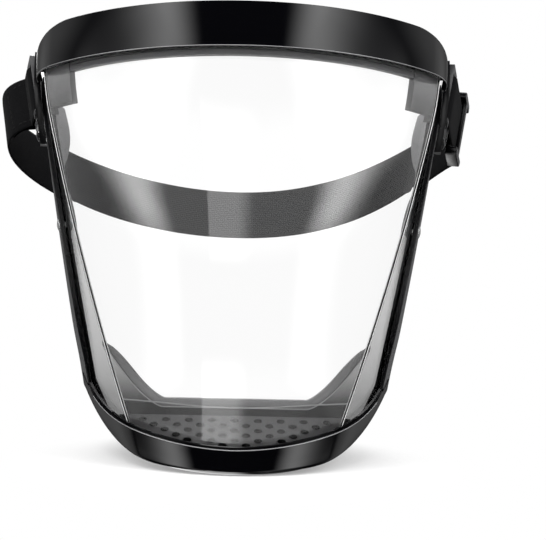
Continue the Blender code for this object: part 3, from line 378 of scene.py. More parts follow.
# a slim bead along a path, the rolled edge of a moulding, pale with the painted edge highlight unless given another
# material
def edgeBead(name, path, radius, material=None):
    sections = []
    for i, point in enumerate(path):
        heading = (path[min(i + 1, len(path) - 1)] - path[max(i - 1, 0)]).normalized()
        side = heading.orthogonal() if abs(heading.z) > 0.9 else heading.cross(Vector((0, 0, 1)))
        side = side.normalized()
        up = side.cross(heading)
        sections.append([point + side * (radius * math.cos(turn)) + up * (radius * math.sin(turn))
                         for turn in steps(0, 2 * math.pi, 10)[:-1]])
    finishPiece(name, sweepSections(sections), material or mouldingEdgePaintedHighlight, [], angle=80)


# clear lens: one creased sheet, 2 mm thick
lens = dict(rows=60, thickness=2, frontBottom=6, sideRise=14.5, cornerRise=16, frontTop=186, cornerDrop=17,
            edgeSweep=3, cornerSweep=10, foldU=0.006, lineU=0.0027, shadeU=0.0058)


def lensBottom(u):
    a = abs(u)
    return (lens["frontBottom"] + lens["sideRise"] * a ** lens["edgeSweep"]
            + lens["cornerRise"] * a ** lens["cornerSweep"])


def lensTop(u):
    return lens["frontTop"] - lens["cornerDrop"] * abs(u) ** lens["edgeSweep"]


def foldedPoint(u, height):
    # the sheet's surface with its fold eased over half a millimetre
    near = lens["foldU"] * (1 - smoothStep(0, 0.02, abs(abs(u) - lensForm["creaseU"])))
    return (lensPoint(u - near, height) + lensPoint(u, height) * 2 + lensPoint(u + near, height)) / 4


def makeLens():
    fold, line, shade = lensForm["creaseU"], lens["lineU"], lens["shadeU"]
    half = steps(0, fold - 0.02, 30) + steps(fold - 0.016, fold - line, 6) + steps(fold - line / 2, fold + line, 3)
    half += steps(fold + (line + shade) / 2, fold + shade, 1) + steps(fold + 0.01, fold + 0.02, 3) + steps(0.74, 1, 14)
    columns = [-u for u in reversed(half[1:])] + half
    last = len(columns) - 1
    bm = bmesh.new()
    bmesh.ops.create_grid(bm, x_segments=last, y_segments=lens["rows"], size=1.0)
    for face in bm.faces:
        u = abs(columns[round((min(v.co.x for v in face.verts) + 1) / 2 * last)]
                + columns[round((max(v.co.x for v in face.verts) + 1) / 2 * last)]) / 2
        # the crease's painted highlight line, and the painted shade strip beside it
        face.material_index = 1 if abs(u - fold) < line else 2 if fold + line < u < fold + shade else 0
    for vert in bm.verts:
        u = columns[round((vert.co.x + 1) / 2 * last)]
        height = lensBottom(u) + (lensTop(u) - lensBottom(u)) * (vert.co.y + 1) / 2
        vert.co = foldedPoint(u, height) * mm
    bmesh.ops.recalc_face_normals(bm, faces=bm.faces[:])
    piece = finishPiece("lensSheet", bm, clearPc, ["visor_lens"], angle=60)
    piece.data.materials.append(creasePaintedHighlight)
    piece.data.materials.append(foldPaintedShade)
    wall = piece.modifiers.new("sheetThickness", "SOLIDIFY")
    wall.thickness = lens["thickness"] * mm
    wall.offset = 0


makeLens()
print("lens done")

# brow band: gloss angle section over the top of the lens
band = dict(bottom=178, height=22, bottomSlope=0.13, topSlope=0.14, inner=2.2, outer=4.7, flangeEdge=-4.3,
            flange=2.2, endU=0.86, endDrop=12.5, dropStart=0.54, endRound=4.5, roundU=0.05, columns=172)


def bandRun(u):
    return lensPoint(u, band["bottom"]).y - lensPoint(0, band["bottom"]).y


def bandBottom(u):
    return band["bottom"] - band["bottomSlope"] * bandRun(u)


def bandTop(u):
    past = smoothStep(band["dropStart"], band["endU"], abs(u))
    return band["bottom"] + band["height"] - band["topSlope"] * bandRun(u) - band["endDrop"] * past


def bandSection(u):
    past = min(1, max(0, abs(u) - band["endU"] + band["roundU"]) / band["roundU"])
    low = bandBottom(u) + band["endRound"] * (1 - math.sqrt(1 - past ** 2))
    high = bandTop(u)
    under = high - band["flange"]
    outer = [softPoint(u, height, band["outer"]) for height in steps(low, high, 6)]
    return outer + [levelPoint(u, high, band["flangeEdge"]), levelPoint(u, under, band["flangeEdge"]),
                    levelPoint(u, under, band["inner"]), levelPoint(u, low, band["inner"])]


sections = [bandSection(u) for u in steps(-band["endU"], band["endU"], band["columns"])]
finishPiece("browBand", sweepSections(sections), glossAbs, ["brow_band"], round=0.9, segments=4)

# pale beads that paint the highlights along the band's lower edge and the rail's lip
reach = band["endU"] - 0.02
edgeBead("browBandEdge", [softPoint(u, bandBottom(u) + 0.35, band["outer"] - 0.05) for u in steps(-reach, reach, 160)],
         0.2)
reach = 0.56
edgeBead("browRailEdge", [levelPoint(u, bandBottom(u) - 0.75, -1.2) for u in steps(-reach, reach, 120)],
         0.16)

# brow rail behind the lens, and the deeper temple tabs that carry it on
browRail = dict(outer=-1.3, inner=-4.3, lip=3.6, endU=0.5762, columns=96, roof=2.5)
tab = dict(startU=0.5778, endU=0.82, bottom=155.5, bottomSlope=0.08, columns=24)


def railSection(u):
    low = bandBottom(u) - browRail["lip"]
    high = bandTop(u) - browRail["roof"]
    return [levelPoint(u, low, browRail["inner"]), levelPoint(u, low, browRail["outer"]),
            levelPoint(u, high, browRail["outer"]), levelPoint(u, high, browRail["inner"])]


def tabSection(u, side):
    low = tab["bottom"] - tab["bottomSlope"] * (bandRun(u) - bandRun(tab["startU"]))
    high = bandTop(u) - browRail["roof"]
    heights = steps(low, high, 8)
    ring = [levelPoint(u, height, browRail["inner"]) for height in heights]
    ring += [levelPoint(u, height, browRail["outer"]) for height in reversed(heights)]
    return [onSide(point, side) for point in ring]


sections = [railSection(u) for u in steps(-browRail["endU"], browRail["endU"], browRail["columns"])]
finishPiece("browRail", sweepSections(sections), railAbs, ["brow_rail"], round=0.5)
for word, side in (("left", -1), ("right", 1)):
    sections = [tabSection(u, side) for u in steps(tab["startU"], tab["endU"], tab["columns"])]
    finishPiece(word + "TempleTab", sweepSections(sections), railAbs, [word + "_temple_tab"],
                round=0.6)
print("brow done")

# chin bar: U-shaped wall with a thin lip over the lens edge and a flange to stand on
bar = dict(frontTop=10.8, sideRise=14, sweep=1.8, cornerRise=12, chine=1.6, chineSide=3, chineCorner=25.5,
           lipThickness=1.2, lipRise=1.2, lipEnd=0.4, wall=2.2, footOutset=6.5, cornerTuck=39, footTuck=16,
           flangeWidth=7, flange=2.2, ledge=4.5, endReach=30, endTuck=9, endSweep=1.1, columns=180,
           cornerSweep=12, chineSweep=6, footSweep=6, groove=1.3, ledgeGap=0.3, heel=2.2, heelMid=0.66)


def barTop(u):
    a = min(abs(u), 1)
    return bar["frontTop"] + bar["sideRise"] * a ** bar["sweep"] + bar["cornerRise"] * a ** bar["cornerSweep"]


def barChine(u):
    a = min(abs(u), 1)
    return bar["chine"] + bar["chineSide"] * a ** 2 + bar["chineCorner"] * a ** bar["chineSweep"]


def barFoot(u):
    a = min(abs(u), 1)
    return bar["footOutset"] - bar["cornerTuck"] * a ** 2 * (1 - a ** 2) - bar["footTuck"] * a ** bar["footSweep"]


def barLedge(u):
    return lensBottom(min(abs(u), 1)) - bar["ledgeGap"]


def barLip(u):
    return barTop(u) + (bar["lipEnd"] if abs(u) > 1 else bar["lipRise"])


def barTuck(u):
    return bar["endTuck"] * max(0, (abs(u) - 1) / (barEnd - 1)) ** bar["endSweep"]


def barSection(u):
    tuck = barTuck(u)
    groove, ledge, heel = bar["groove"] - tuck, barLedge(u), bar["heel"]
    a = min(abs(u), 1)
    foot = barFoot(u) - tuck
    inside, flange = foot - bar["wall"], foot - bar["wall"] - bar["flangeWidth"]
    top, lip, chine = barTop(u), barLip(u), barChine(u)
    face = groove + bar["wall"]
    bend = Vector((face + (bar["footOutset"] - face) * (1 - a ** 2) * (top - chine) / (top - heel), chine))
    low, high = Vector((foot, heel)), Vector((face, top))
    turned = [low, bend + (low - bend) * 0.5]
    start, end = bend + (low - bend) * 0.12, bend + (high - bend) * 0.12
    for t in steps(0, 1, 5):
        turned.append(start * (1 - t) ** 2 + bend * 2 * t * (1 - t) + end * t ** 2)  # the rounded lower edge
    turned += [end.lerp(high, 0.35), end.lerp(high, 0.7), high]
    outer = [softPoint(u, height, offset) for offset, height in turned]
    return [softPoint(u, 0, foot - heel), softPoint(u, bar["heelMid"], foot - bar["heelMid"])] + outer + [
        softPoint(u, top, groove + bar["lipThickness"]), softPoint(u, lip, groove + bar["lipThickness"]),
        levelPoint(u, lip, groove), levelPoint(u, ledge, groove), levelPoint(u, ledge, groove - bar["ledge"]),
        softPoint(u, bar["flange"], inside), softPoint(u, bar["flange"], flange), softPoint(u, 0, flange)]


barEnd = uBehindEdge(bar["endReach"], barTop(1))
stations = sorted(steps(-1, 1, bar["columns"]) + steps(1.01, barEnd, 12) + steps(-barEnd, -1.01, 12))
finishPiece("chinBar", sweepSections([barSection(u) for u in stations]), glossAbs, ["chin_bar"],
            round=0.45)
# a pale bead that paints the highlight along the bar's top edge
edgeBead("chinBarEdge", [softPoint(u, barTop(u) - 0.3, 1.35 + bar["wall"]) for u in steps(-0.92, 0.92, 150)],
         0.22)

# side rails: channels on the rear edges of the lens
channel = dict(outerLip=5, innerLip=4, outerFace=3.6, innerFace=-2.7, back=2.8, gap=0.3, groove=1.3,
               flush=0.5, flushSpan=(60, 40), top=176, rows=90)


def channelSection(height, side):
    face = channel["outerFace"] - channel["flush"] * smoothStep(*channel["flushSpan"], height)  # flush with the bar
    groove = channel["groove"]
    corners = [(-channel["outerLip"], groove), (-channel["outerLip"], face), (channel["back"], face),
               (channel["back"], channel["innerFace"]),
               (-channel["innerLip"], channel["innerFace"]), (-channel["innerLip"], -groove),
               (channel["gap"], -groove), (channel["gap"], groove)]
    return [onSide(levelPoint(uBehindEdge(reach, height), height, offset), side) for reach, offset in corners]


# cheek arms: soft S-shaped ribbons behind the rails
arm = dict(top=156, thickness=3, start=3.1, widths=((36.8, 33), (70, 37), (128, 56), (156, 44)), boss=3.1,
           bossRun=22, tuck=0.6, toeIn=1.05, toeSpan=(120, 158), ear=9, rows=70)


def armWidth(height):
    total = 0
    for here, width in arm["widths"]:
        for other, _ in arm["widths"]:
            if other != here:
                width *= (height - other) / (here - other)
        total += width
    return total


def armSection(height, side):
    swell = min(1, max(0, (height - arm["top"] + arm["bossRun"]) / arm["bossRun"] * 2))
    inner = -arm["thickness"] / 2
    outer = arm["thickness"] / 2 + (arm["boss"] - arm["thickness"] / 2) * swell
    wing = edgeAt(height) - creaseAt(height)
    draw = arm["tuck"] * smoothStep(arm["top"] - arm["bossRun"], arm["top"] - 2 * arm["bossRun"], height)
    draw += arm["toeIn"] * smoothStep(*arm["toeSpan"], height)
    draw *= wing.x / wing.y
    ring = []
    for offset, way in ((inner, 1), (outer, -1)):
        for share in steps(0, 1, 4)[::way]:
            reach = arm["start"] + armWidth(height) * share
            ring.append(levelPoint(uBehindEdge(reach, height), height, offset - draw * reach))
    return [onSide(point, side) for point in ring]


for word, side in (("left", -1), ("right", 1)):
    heights = steps(barChine(1) + 2, channel["top"], channel["rows"])
    finishPiece(word + "SideRail", sweepSections([channelSection(height, side) for height in heights]), satinAbs,
                [word + "_side_rail"], round=0.5)
    heights = steps(barTop(1) - 1, arm["top"] + arm["ear"], arm["rows"])
    finishPiece(word + "CheekArm", sweepSections([armSection(height, side) for height in heights]), softTpe,
                [word + "_cheek_arm"], round=1.2, segments=4)
print("chin bar, rails and arms done")

# chin vent: perforated plate from its CAD solid, the rims of its holes broken as a mould breaks them
hole = dict(radius=1.9, bead=0.22, slope=(0, -13.1, 26), wallArea=3)


def makePlate():
    bm = mergedCopy("vent_plate")
    up = Vector(hole["slope"]).normalized()
    for face in bm.faces:
        # the hole walls, which take the painted shade
        inHole = abs(face.normal.dot(up)) < 0.3 and face.calc_area() < hole["wallArea"] * mm * mm
        face.material_index = 1 if inHole else 0
    piece = finishPiece("ventPlate", bm, plateAbs, ["vent_plate"], angle=15)
    piece.data.materials.append(holeWallPaintedShade)


makePlate()


def holeCentres():
    # the ring of short edges round each hole, on the plate's upper face
    bm = mergedCopy("vent_plate")
    short = {edge for edge in bm.edges if edge.calc_length() < 1.2 * mm and edge.calc_face_angle(0) > 1.2}
    centres = []
    while short:
        ring, front = set(), [short.pop()]
        while front:
            edge = front.pop()
            ring.update(edge.verts)
            beside = {other for vert in edge.verts for other in vert.link_edges if other in short}
            short -= beside
            front += beside
        centre = sum((vert.co for vert in ring), Vector()) / len(ring) / mm
        if all(abs((vert.co / mm - centre).length - hole["radius"]) < 0.2 for vert in ring):
            centres.append(centre)
    bm.free()
    up = Vector(hole["slope"]).normalized()
    level = sum(centre.dot(up) for centre in centres) / len(centres)
    return [centre for centre in centres if centre.dot(up) > level]


def makeHoleRims():
    bm = bmesh.new()
    turn = Vector(hole["slope"]).to_track_quat("Z", "Y").to_matrix().to_4x4()
    for centre in holeCentres():
        made = bmesh.ops.create_circle(bm, segments=8, radius=hole["bead"],
                                       matrix=Matrix.Translation((hole["radius"] + 0.1, 0, 0))
                                       @ Matrix.Rotation(math.pi / 2, 4, "X"))
        edges = list({edge for vert in made["verts"] for edge in vert.link_edges})
        before = set(bm.verts) - set(made["verts"])
        bmesh.ops.spin(bm, geom=made["verts"] + edges, cent=(0, 0, 0), axis=(0, 0, 1), angle=2 * math.pi, steps=28,
                       use_merge=True)
        fresh = [vert for vert in bm.verts if vert not in before]
        bmesh.ops.transform(bm, matrix=Matrix.Translation(centre * mm) @ turn @ Matrix.Scale(mm, 4), verts=fresh)
    bmesh.ops.recalc_face_normals(bm, faces=bm.faces[:])
    finishPiece("ventHoleRims", bm, plateAbs, [], angle=80)


makeHoleRims()

# chin riser: an upright behind the plate that fills the bar from side to side
riser = dict(front=42.6, thickness=2.4, foot=2.6, ledge=15.4, gap=0.4, eye=495, past=0.3, stepHalf=49, stepLift=0.2,
             stepRise=3.2, stepRun=60)


def widthAtRiser(height, offsetAt):
    low, high = 0.5, 1.3
    for _ in range(30):
        u = (low + high) / 2
        point = levelPoint(u, height, offsetAt(u))
        low, high = (u, high) if point.y + lensForm["originDepth"] < riser["front"] else (low, u)
    return point.x - riser["gap"]


def creaseWidth(height):
    # the gusset stops at the fold of the lens, as the eye sees it from in front
    crease = creaseAt(height)
    return crease.x * (riser["eye"] + riser["front"]) / (riser["eye"] + crease.y) + riser["past"]


def barInside(u, height):
    foot = barFoot(u) - bar["wall"]
    share = (height - bar["flange"]) / (barLedge(u) - bar["flange"])
    return foot + (bar["groove"] - bar["ledge"] - foot) * share


# chin rim: soft trim on the riser's edge
rim = dict(flatHalf=31, tipHalf=58, tipRise=28.4, base=24.2, sweep=1.53, depth=5.5, height=4, front=42.6,
           tipRun=11, tipRound=10, squareness=0.6, edgeHalf=56, columns=140)


def rimHeight(x):
    run = max(0, abs(x) - rim["flatHalf"]) / (rim["tipHalf"] - rim["flatHalf"])
    return rim["base"] + rim["tipRise"] * run ** rim["sweep"]


def rimSection(x):
    slope = (rimHeight(x + 0.5) - rimHeight(x - 0.5))
    rise = Vector((-slope, 0, 1)).normalized()
    centre = Vector((x, rim["front"] - lensForm["originDepth"] + rim["depth"] / 2, rimHeight(x)))
    centre += rise * (rim["height"] / 2)
    past = max(0, abs(x) - rim["tipHalf"] + rim["tipRun"])
    tip = math.sqrt(max(0.02, 1 - past ** 2 / rim["tipRound"] ** 2))
    ring = []
    for turn in steps(0, 2 * math.pi, 20)[:-1]:
        wide = math.copysign(abs(math.cos(turn)) ** rim["squareness"], math.cos(turn))
        tall = math.copysign(abs(math.sin(turn)) ** rim["squareness"], math.sin(turn))
        ring.append(centre + Vector((0, 1, 0)) * (rim["depth"] / 2 * wide * tip)
                    + rise * (rim["height"] / 2 * (tall * tip - 1 + tip)))
    return ring


def makeRiser():
    half = [(widthAtRiser(height, lambda u: barInside(u, height)), height)
            for height in steps(riser["foot"], riser["ledge"] - 1, 6)]
    half += [(creaseWidth(height), height) for height in steps(riser["ledge"], rimHeight(rim["tipHalf"]), 24)]
    half += [(x, rimHeight(x)) for x in steps(rim["tipHalf"] - 0.5, 0, 60) if x < half[-1][0] - 0.2]
    outline = half + [(-x, height) for x, height in reversed(half[:-1])]
    bm = bmesh.new()
    front = riser["front"] - lensForm["originDepth"]
    verts = [bm.verts.new(Vector((x, front, height)) * mm) for x, height in outline]
    edges = [bm.edges.new((verts[i - 1], verts[i])) for i in range(len(verts))]
    bmesh.ops.triangle_fill(bm, use_beauty=True, edges=edges)
    made = bmesh.ops.extrude_face_region(bm, geom=bm.faces[:])
    moved = [item for item in made["geom"] if isinstance(item, bmesh.types.BMVert)]
    bmesh.ops.translate(bm, verts=moved, vec=(0, riser["thickness"] * mm, 0))
    bmesh.ops.recalc_face_normals(bm, faces=bm.faces[:])
    finishPiece("chinRiser", bm, riserPaintedShading, ["chin_riser"], angle=30)


makeRiser()
front = riser["front"] - lensForm["originDepth"]
# pale beads that paint the highlights along the riser's step and the rim's lower edge
path = []
for x in steps(-riser["stepHalf"], riser["stepHalf"], 98):
    rise = riser["stepRise"] * smoothStep(0, riser["stepRun"], abs(x))
    path.append(Vector((x, front, rim["base"] + riser["stepLift"] + rise)))
edgeBead("riserStep", path, 0.32, riserEdgePaintedHighlight)
path = [Vector((x, front - 0.1, rimHeight(x) + 0.2)) for x in steps(-rim["edgeHalf"], rim["edgeHalf"], 160)]
edgeBead("chinRimEdge", path, 0.25, riserEdgePaintedHighlight)
sections = [rimSection(x) for x in steps(-rim["tipHalf"] + 1, rim["tipHalf"] - 1, rim["columns"])]
finishPiece("chinRim", sweepSections(sections), rimTpe, ["chin_rim"], angle=60)
print("chin vent done")

# strap lugs and the plane in which the webbing leaves them
lug = dict(height=163.5, bendReach=13.2, inner=3.7, outer=6.7, bend=11, tilt=21, rise=9, slotEnd=7.4, slotBar=6)


def strapPlane():
    height = lug["height"]
    back = edgeAt(height) - creaseAt(height)
    normal = outwardAt(1, height)
    back = Vector((back.x, back.y, 0)).normalized()
    back = (back - normal * back.dot(normal)).normalized()
    up = normal.cross(back)
    bend, tilt = math.radians(lug["bend"]), math.radians(lug["tilt"])
    bentBack = back * math.cos(bend) + normal * math.sin(bend)
    foot = levelPoint(uAtDepth(edgeAt(height).y + lug["bendReach"], height), height, (lug["inner"] + lug["outer"]) / 2)
    return dict(normal=normal * math.cos(bend) - back * math.sin(bend),
                along=bentBack * math.cos(tilt) - up * math.sin(tilt),
                up=up * math.cos(tilt) + bentBack * math.sin(tilt),
                origin=foot + up * lug["rise"] + normal * 0.6)


plane = strapPlane()
for word in ("left", "right"):
    finishPiece(word + "StrapLug", mergedCopy(word + "_strap_lug"), satinAbs,
                [word + "_strap_lug"], round=0.7)

# head strap: one ribbon of webbing, sewn round the left lug and run through the slider on the right
strap = dict(width=27, thickness=1.5, layer=2.55, tail=26, backDepth=232, backHeight=116, runs=44, turns=12,
             sewnGap=1.55,
             left=dict(straight=3, pull=22, bow=40, backPull=84, sewn=1),
             right=dict(straight=36, pull=6, bow=-12, backPull=78, sewn=0))


def strapOutside(form):
    # from the slot bar along the outside of the lug and round to the back of the head
    leave = plane["origin"] + plane["along"] * (lug["slotEnd"] + lug["slotBar"] + form["straight"])
    leave += plane["normal"] * strap["layer"]
    start = plane["origin"] + plane["along"] * lug["slotEnd"] + plane["normal"] * strap["layer"]
    back = Vector((0, strap["backDepth"] - lensForm["originDepth"], strap["backHeight"]))
    swing = plane["along"] * form["pull"] + plane["normal"] * form["bow"]
    pull = [leave, leave + swing, back + Vector((form["backPull"], 0, 0)), back]
    run = [(start.lerp(leave, share), plane["along"], plane["up"]) for share in steps(0, 1, 6)[:-1]]
    for t in steps(0, 1, strap["runs"]):
        r = 1 - t
        point = pull[0] * r ** 3 + pull[1] * 3 * r * r * t + pull[2] * 3 * r * t * t + pull[3] * t ** 3
        heading = (pull[1] - pull[0]) * r * r + (pull[2] - pull[1]) * 2 * r * t + (pull[3] - pull[2]) * t * t
        heading = heading.normalized()
        up = plane["up"].lerp(Vector((0, 0, 1)), smoothStep(0, 1, t))
        run.append((point, heading, (up - heading * up.dot(heading)).normalized()))
    return run


def strapHalf(form):
    outside = strapOutside(form)
    tail, reach = [], 0
    for (before, _, _), (point, heading, up) in zip(outside, outside[1:]):
        reach += (point - before).length
        if reach > strap["tail"]:
            break
        loose = 1 - form["sewn"] * smoothStep(5, 17, reach)
        gap = strap["sewnGap"] + (2 * strap["layer"] - strap["sewnGap"]) * loose
        tail.append((point - heading.cross(up) * gap, -heading, up))
    turn = []
    for angle in steps(0, math.pi, strap["turns"]):
        point = plane["origin"] + plane["along"] * (lug["slotEnd"] - strap["layer"] * math.sin(angle))
        point += plane["normal"] * (-strap["layer"] * math.cos(angle))
        turn.append((point, plane["normal"] * math.sin(angle) - plane["along"] * math.cos(angle), plane["up"]))
    return list(reversed(tail)) + turn + outside[1:]


def strapSection(station, side):
    point, heading, up = station
    out = heading.cross(up).normalized()
    ring = []
    for turn in steps(0, 2 * math.pi, 20)[:-1]:
        wide = math.copysign(abs(math.cos(turn)) ** 0.3, math.cos(turn))
        tall = math.copysign(abs(math.sin(turn)) ** 0.5, math.sin(turn))
        ring.append(onSide(point + up * (strap["width"] / 2 * wide) + out * (strap["thickness"] / 2 * tall), side))
    return ring


sections = [strapSection(station, -1) for station in strapHalf(strap["left"])]
sections += [strapSection(station, 1) for station in list(reversed(strapHalf(strap["right"])))[1:]]
finishPiece("headStrap", sweepSections(sections, withUv=True), webbing, ["head_strap"], angle=70)

# box of stitches that closes the sewn end on the left
stitch = dict(length=2.3, width=0.55, pitch=3.0, first=4, last=19, inset=3.2)


def makeStitches():
    outside = strapOutside(strap["left"])
    bm = bmesh.new()
    reach, places = 0, []
    for (before, _, _), (point, heading, up) in zip(outside, outside[1:]):
        reach += (point - before).length
        places.append((reach, point, heading, up))
    wanted = []
    side = strap["width"] / 2 - stitch["inset"]
    for across in (-side, side):
        wanted += [(reach, across, False) for reach in steps(stitch["first"], stitch["last"], 5)]
    for reach in (stitch["first"], stitch["last"]):
        wanted += [(reach, across, True) for across in steps(-side + stitch["pitch"], side - stitch["pitch"], 5)]
    for reach, across, crosswise in wanted:
        _, point, heading, up = min(places, key=lambda item: abs(item[0] - reach))
        out = heading.cross(up).normalized()
        long = up if crosswise else heading
        centre = point + up * across + out * (strap["thickness"] / 2 + 0.05)
        turn = Matrix((onSide(long, -1), onSide(long.cross(out), -1), onSide(out, -1))).transposed().to_4x4()
        size = Matrix.Diagonal((stitch["length"] / 2 * mm, stitch["width"] / 2 * mm, 0.22 * mm, 1))
        bmesh.ops.create_uvsphere(bm, u_segments=8, v_segments=5, radius=1.0,
                                  matrix=Matrix.Translation(onSide(centre, -1) * mm) @ turn @ size)
    bmesh.ops.recalc_face_normals(bm, faces=bm.faces[:])
    finishPiece("strapStitches", bm, thread, [], angle=80)


makeStitches()

# three-bar slider on the right of the strap
finishPiece("strapSlider", mergedCopy("strap_slider"), satinAbs, ["strap_slider"], round=0.55,
            body="slider")
print("strap done")

# turned fasteners: domed heads spun on their own axes
pin = dict(radius=1.5, headRadius=2.7, headHeight=1.1, turns=32)
snap = dict(height=103, reach=-2, low=-3.0, high=3.4)  # reach behind the lens edge, span of the shank off the lens
armRivet = dict(height=147, reach=8, low=-1.8, high=7.0)
lugRivet = dict(height=156.5, reach=-2, low=1.6, high=7.0)
browPeg = dict(height=177, u=0.65, low=-4.6, high=3.5)


def spunPin(name, spec, profile, side, material, node):
    bm = bmesh.new()
    verts = [bm.verts.new((radius, 0, height)) for radius, height in profile]
    edges = [bm.edges.new(pair) for pair in zip(verts, verts[1:])]
    bmesh.ops.spin(bm, geom=verts + edges, cent=(0, 0, 0), axis=(0, 0, 1), angle=2 * math.pi,
                   steps=pin["turns"], use_merge=True)
    bmesh.ops.remove_doubles(bm, verts=bm.verts[:], dist=1e-3)
    bmesh.ops.recalc_face_normals(bm, faces=bm.faces[:])
    u = spec["u"] if "u" in spec else uBehindEdge(spec["reach"], spec["height"])
    axis = outwardAt(u, spec["height"])
    turn = onSide(axis, side).to_track_quat("Z", "Y").to_matrix().to_4x4()
    point = onSide(lensPoint(u, spec["height"]), side)
    place = Matrix.Translation(point * mm) @ turn @ Matrix.Scale(mm, 4)
    bmesh.ops.transform(bm, matrix=place, verts=bm.verts[:])
    finishPiece(name, bm, material, [node], angle=40)


def dome(face, way):
    # rim to crown of a head that stands on a face
    return [(pin["headRadius"] * math.cos(turn), face + way * (0.15 + (pin["headHeight"] - 0.15) * math.sin(turn)))
            for turn in steps(0, math.pi / 2, 6)]


def headAbove(spec):
    high = spec["high"]
    return list(reversed(dome(high, 1))) + [(pin["headRadius"], high), (pin["radius"], high)]


def headBelow(spec):
    low = spec["low"]
    return [(pin["radius"], low), (pin["headRadius"], low)] + dome(low, -1)


for word, side in (("left", -1), ("right", 1)):
    spunPin(word + "LensSnap", snap, headAbove(snap) + headBelow(snap), side, clearPin,
            word + "_lens_snap")
    spunPin(word + "ArmRivet", armRivet, headAbove(armRivet) + headBelow(armRivet), side, satinAbs,
            word + "_arm_rivet")
    profile = headAbove(lugRivet) + [(pin["radius"], lugRivet["low"]), (0, lugRivet["low"])]
    spunPin(word + "LugRivet", lugRivet, profile, side, satinAbs, word + "_lug_rivet")
    profile = [(0, browPeg["high"]), (pin["radius"], browPeg["high"])] + headBelow(browPeg)
    spunPin(word + "BrowPeg", browPeg, profile, side, satinAbs, word + "_brow_peg")
print("fasteners done")

# floor and studio: white to the eye, with strip lights in front and a bright wall behind
studio = dict(floorSize=3.0, glowNear=0.3, glowFar=1.0, paper=0.42, shadowAt=0.03, shadow=0.05, clear=0.1,
              front=0.01, rear=0.13, flank=0.32, table=0.55, strip=2.9, shoulder=9.0, wall=1.0, panel=3.4,
              lampAim=(0, 0.05, 0.09))


def makeFloor():
    bm = bmesh.new()
    bmesh.ops.create_grid(bm, x_segments=1, y_segments=1, size=studio["floorSize"])
    mesh = bpy.data.meshes.new("floor")
    bm.to_mesh(mesh)
    bm.free()
    floor = bpy.data.objects.new("floor", mesh)
    bpy.context.scene.collection.objects.link(floor)
    floor.location.z = -0.0002
    floor.visible_glossy = False  # the studio's own light makes the reflections
    paper, tree, shader = newMaterial("studioPaper", "#d2d2d2", 0.9, 1.4)
    shader.inputs["Specular IOR Level"].default_value = 0.0
    ray = addNode(tree, "ShaderNodeLightPath")
    seen = addNode(tree, "ShaderNodeMath", {"operation": "MAXIMUM"},
                   {0: ray.outputs["Is Camera Ray"], 1: ray.outputs["Is Transmission Ray"]})
    place = addNode(tree, "ShaderNodeTexCoord")
    away = addNode(tree, "ShaderNodeVectorMath", {"operation": "DISTANCE", 1: (0, studio["shadowAt"], 0)},
                   {0: place.outputs["Object"]})
    far = addNode(tree, "ShaderNodeMapRange", {"interpolation_type": "SMOOTHSTEP", "From Min": studio["shadow"],
                                               "From Max": studio["clear"]}, {"Value": away.outputs["Value"]})
    white = addNode(tree, "ShaderNodeMapRange", {"To Min": studio["glowNear"], "To Max": studio["glowFar"]},
                    {"Value": far.outputs["Result"]})
    glow = addNode(tree, "ShaderNodeMath", {"operation": "MULTIPLY"},
                   {0: seen.outputs["Value"], 1: white.outputs["Result"]})
    shade = addNode(tree, "ShaderNodeMapRange", {"To Min": studio["paper"], "To Max": 0.0},
                    {"Value": far.outputs["Result"]})
    tree.links.new(shade.outputs["Result"], shader.inputs["Base Color"])
    shader.inputs["Emission Color"].default_value = (1, 1, 1, 1)
    tree.links.new(glow.outputs["Value"], shader.inputs["Emission Strength"])
    mesh.materials.append(paper)


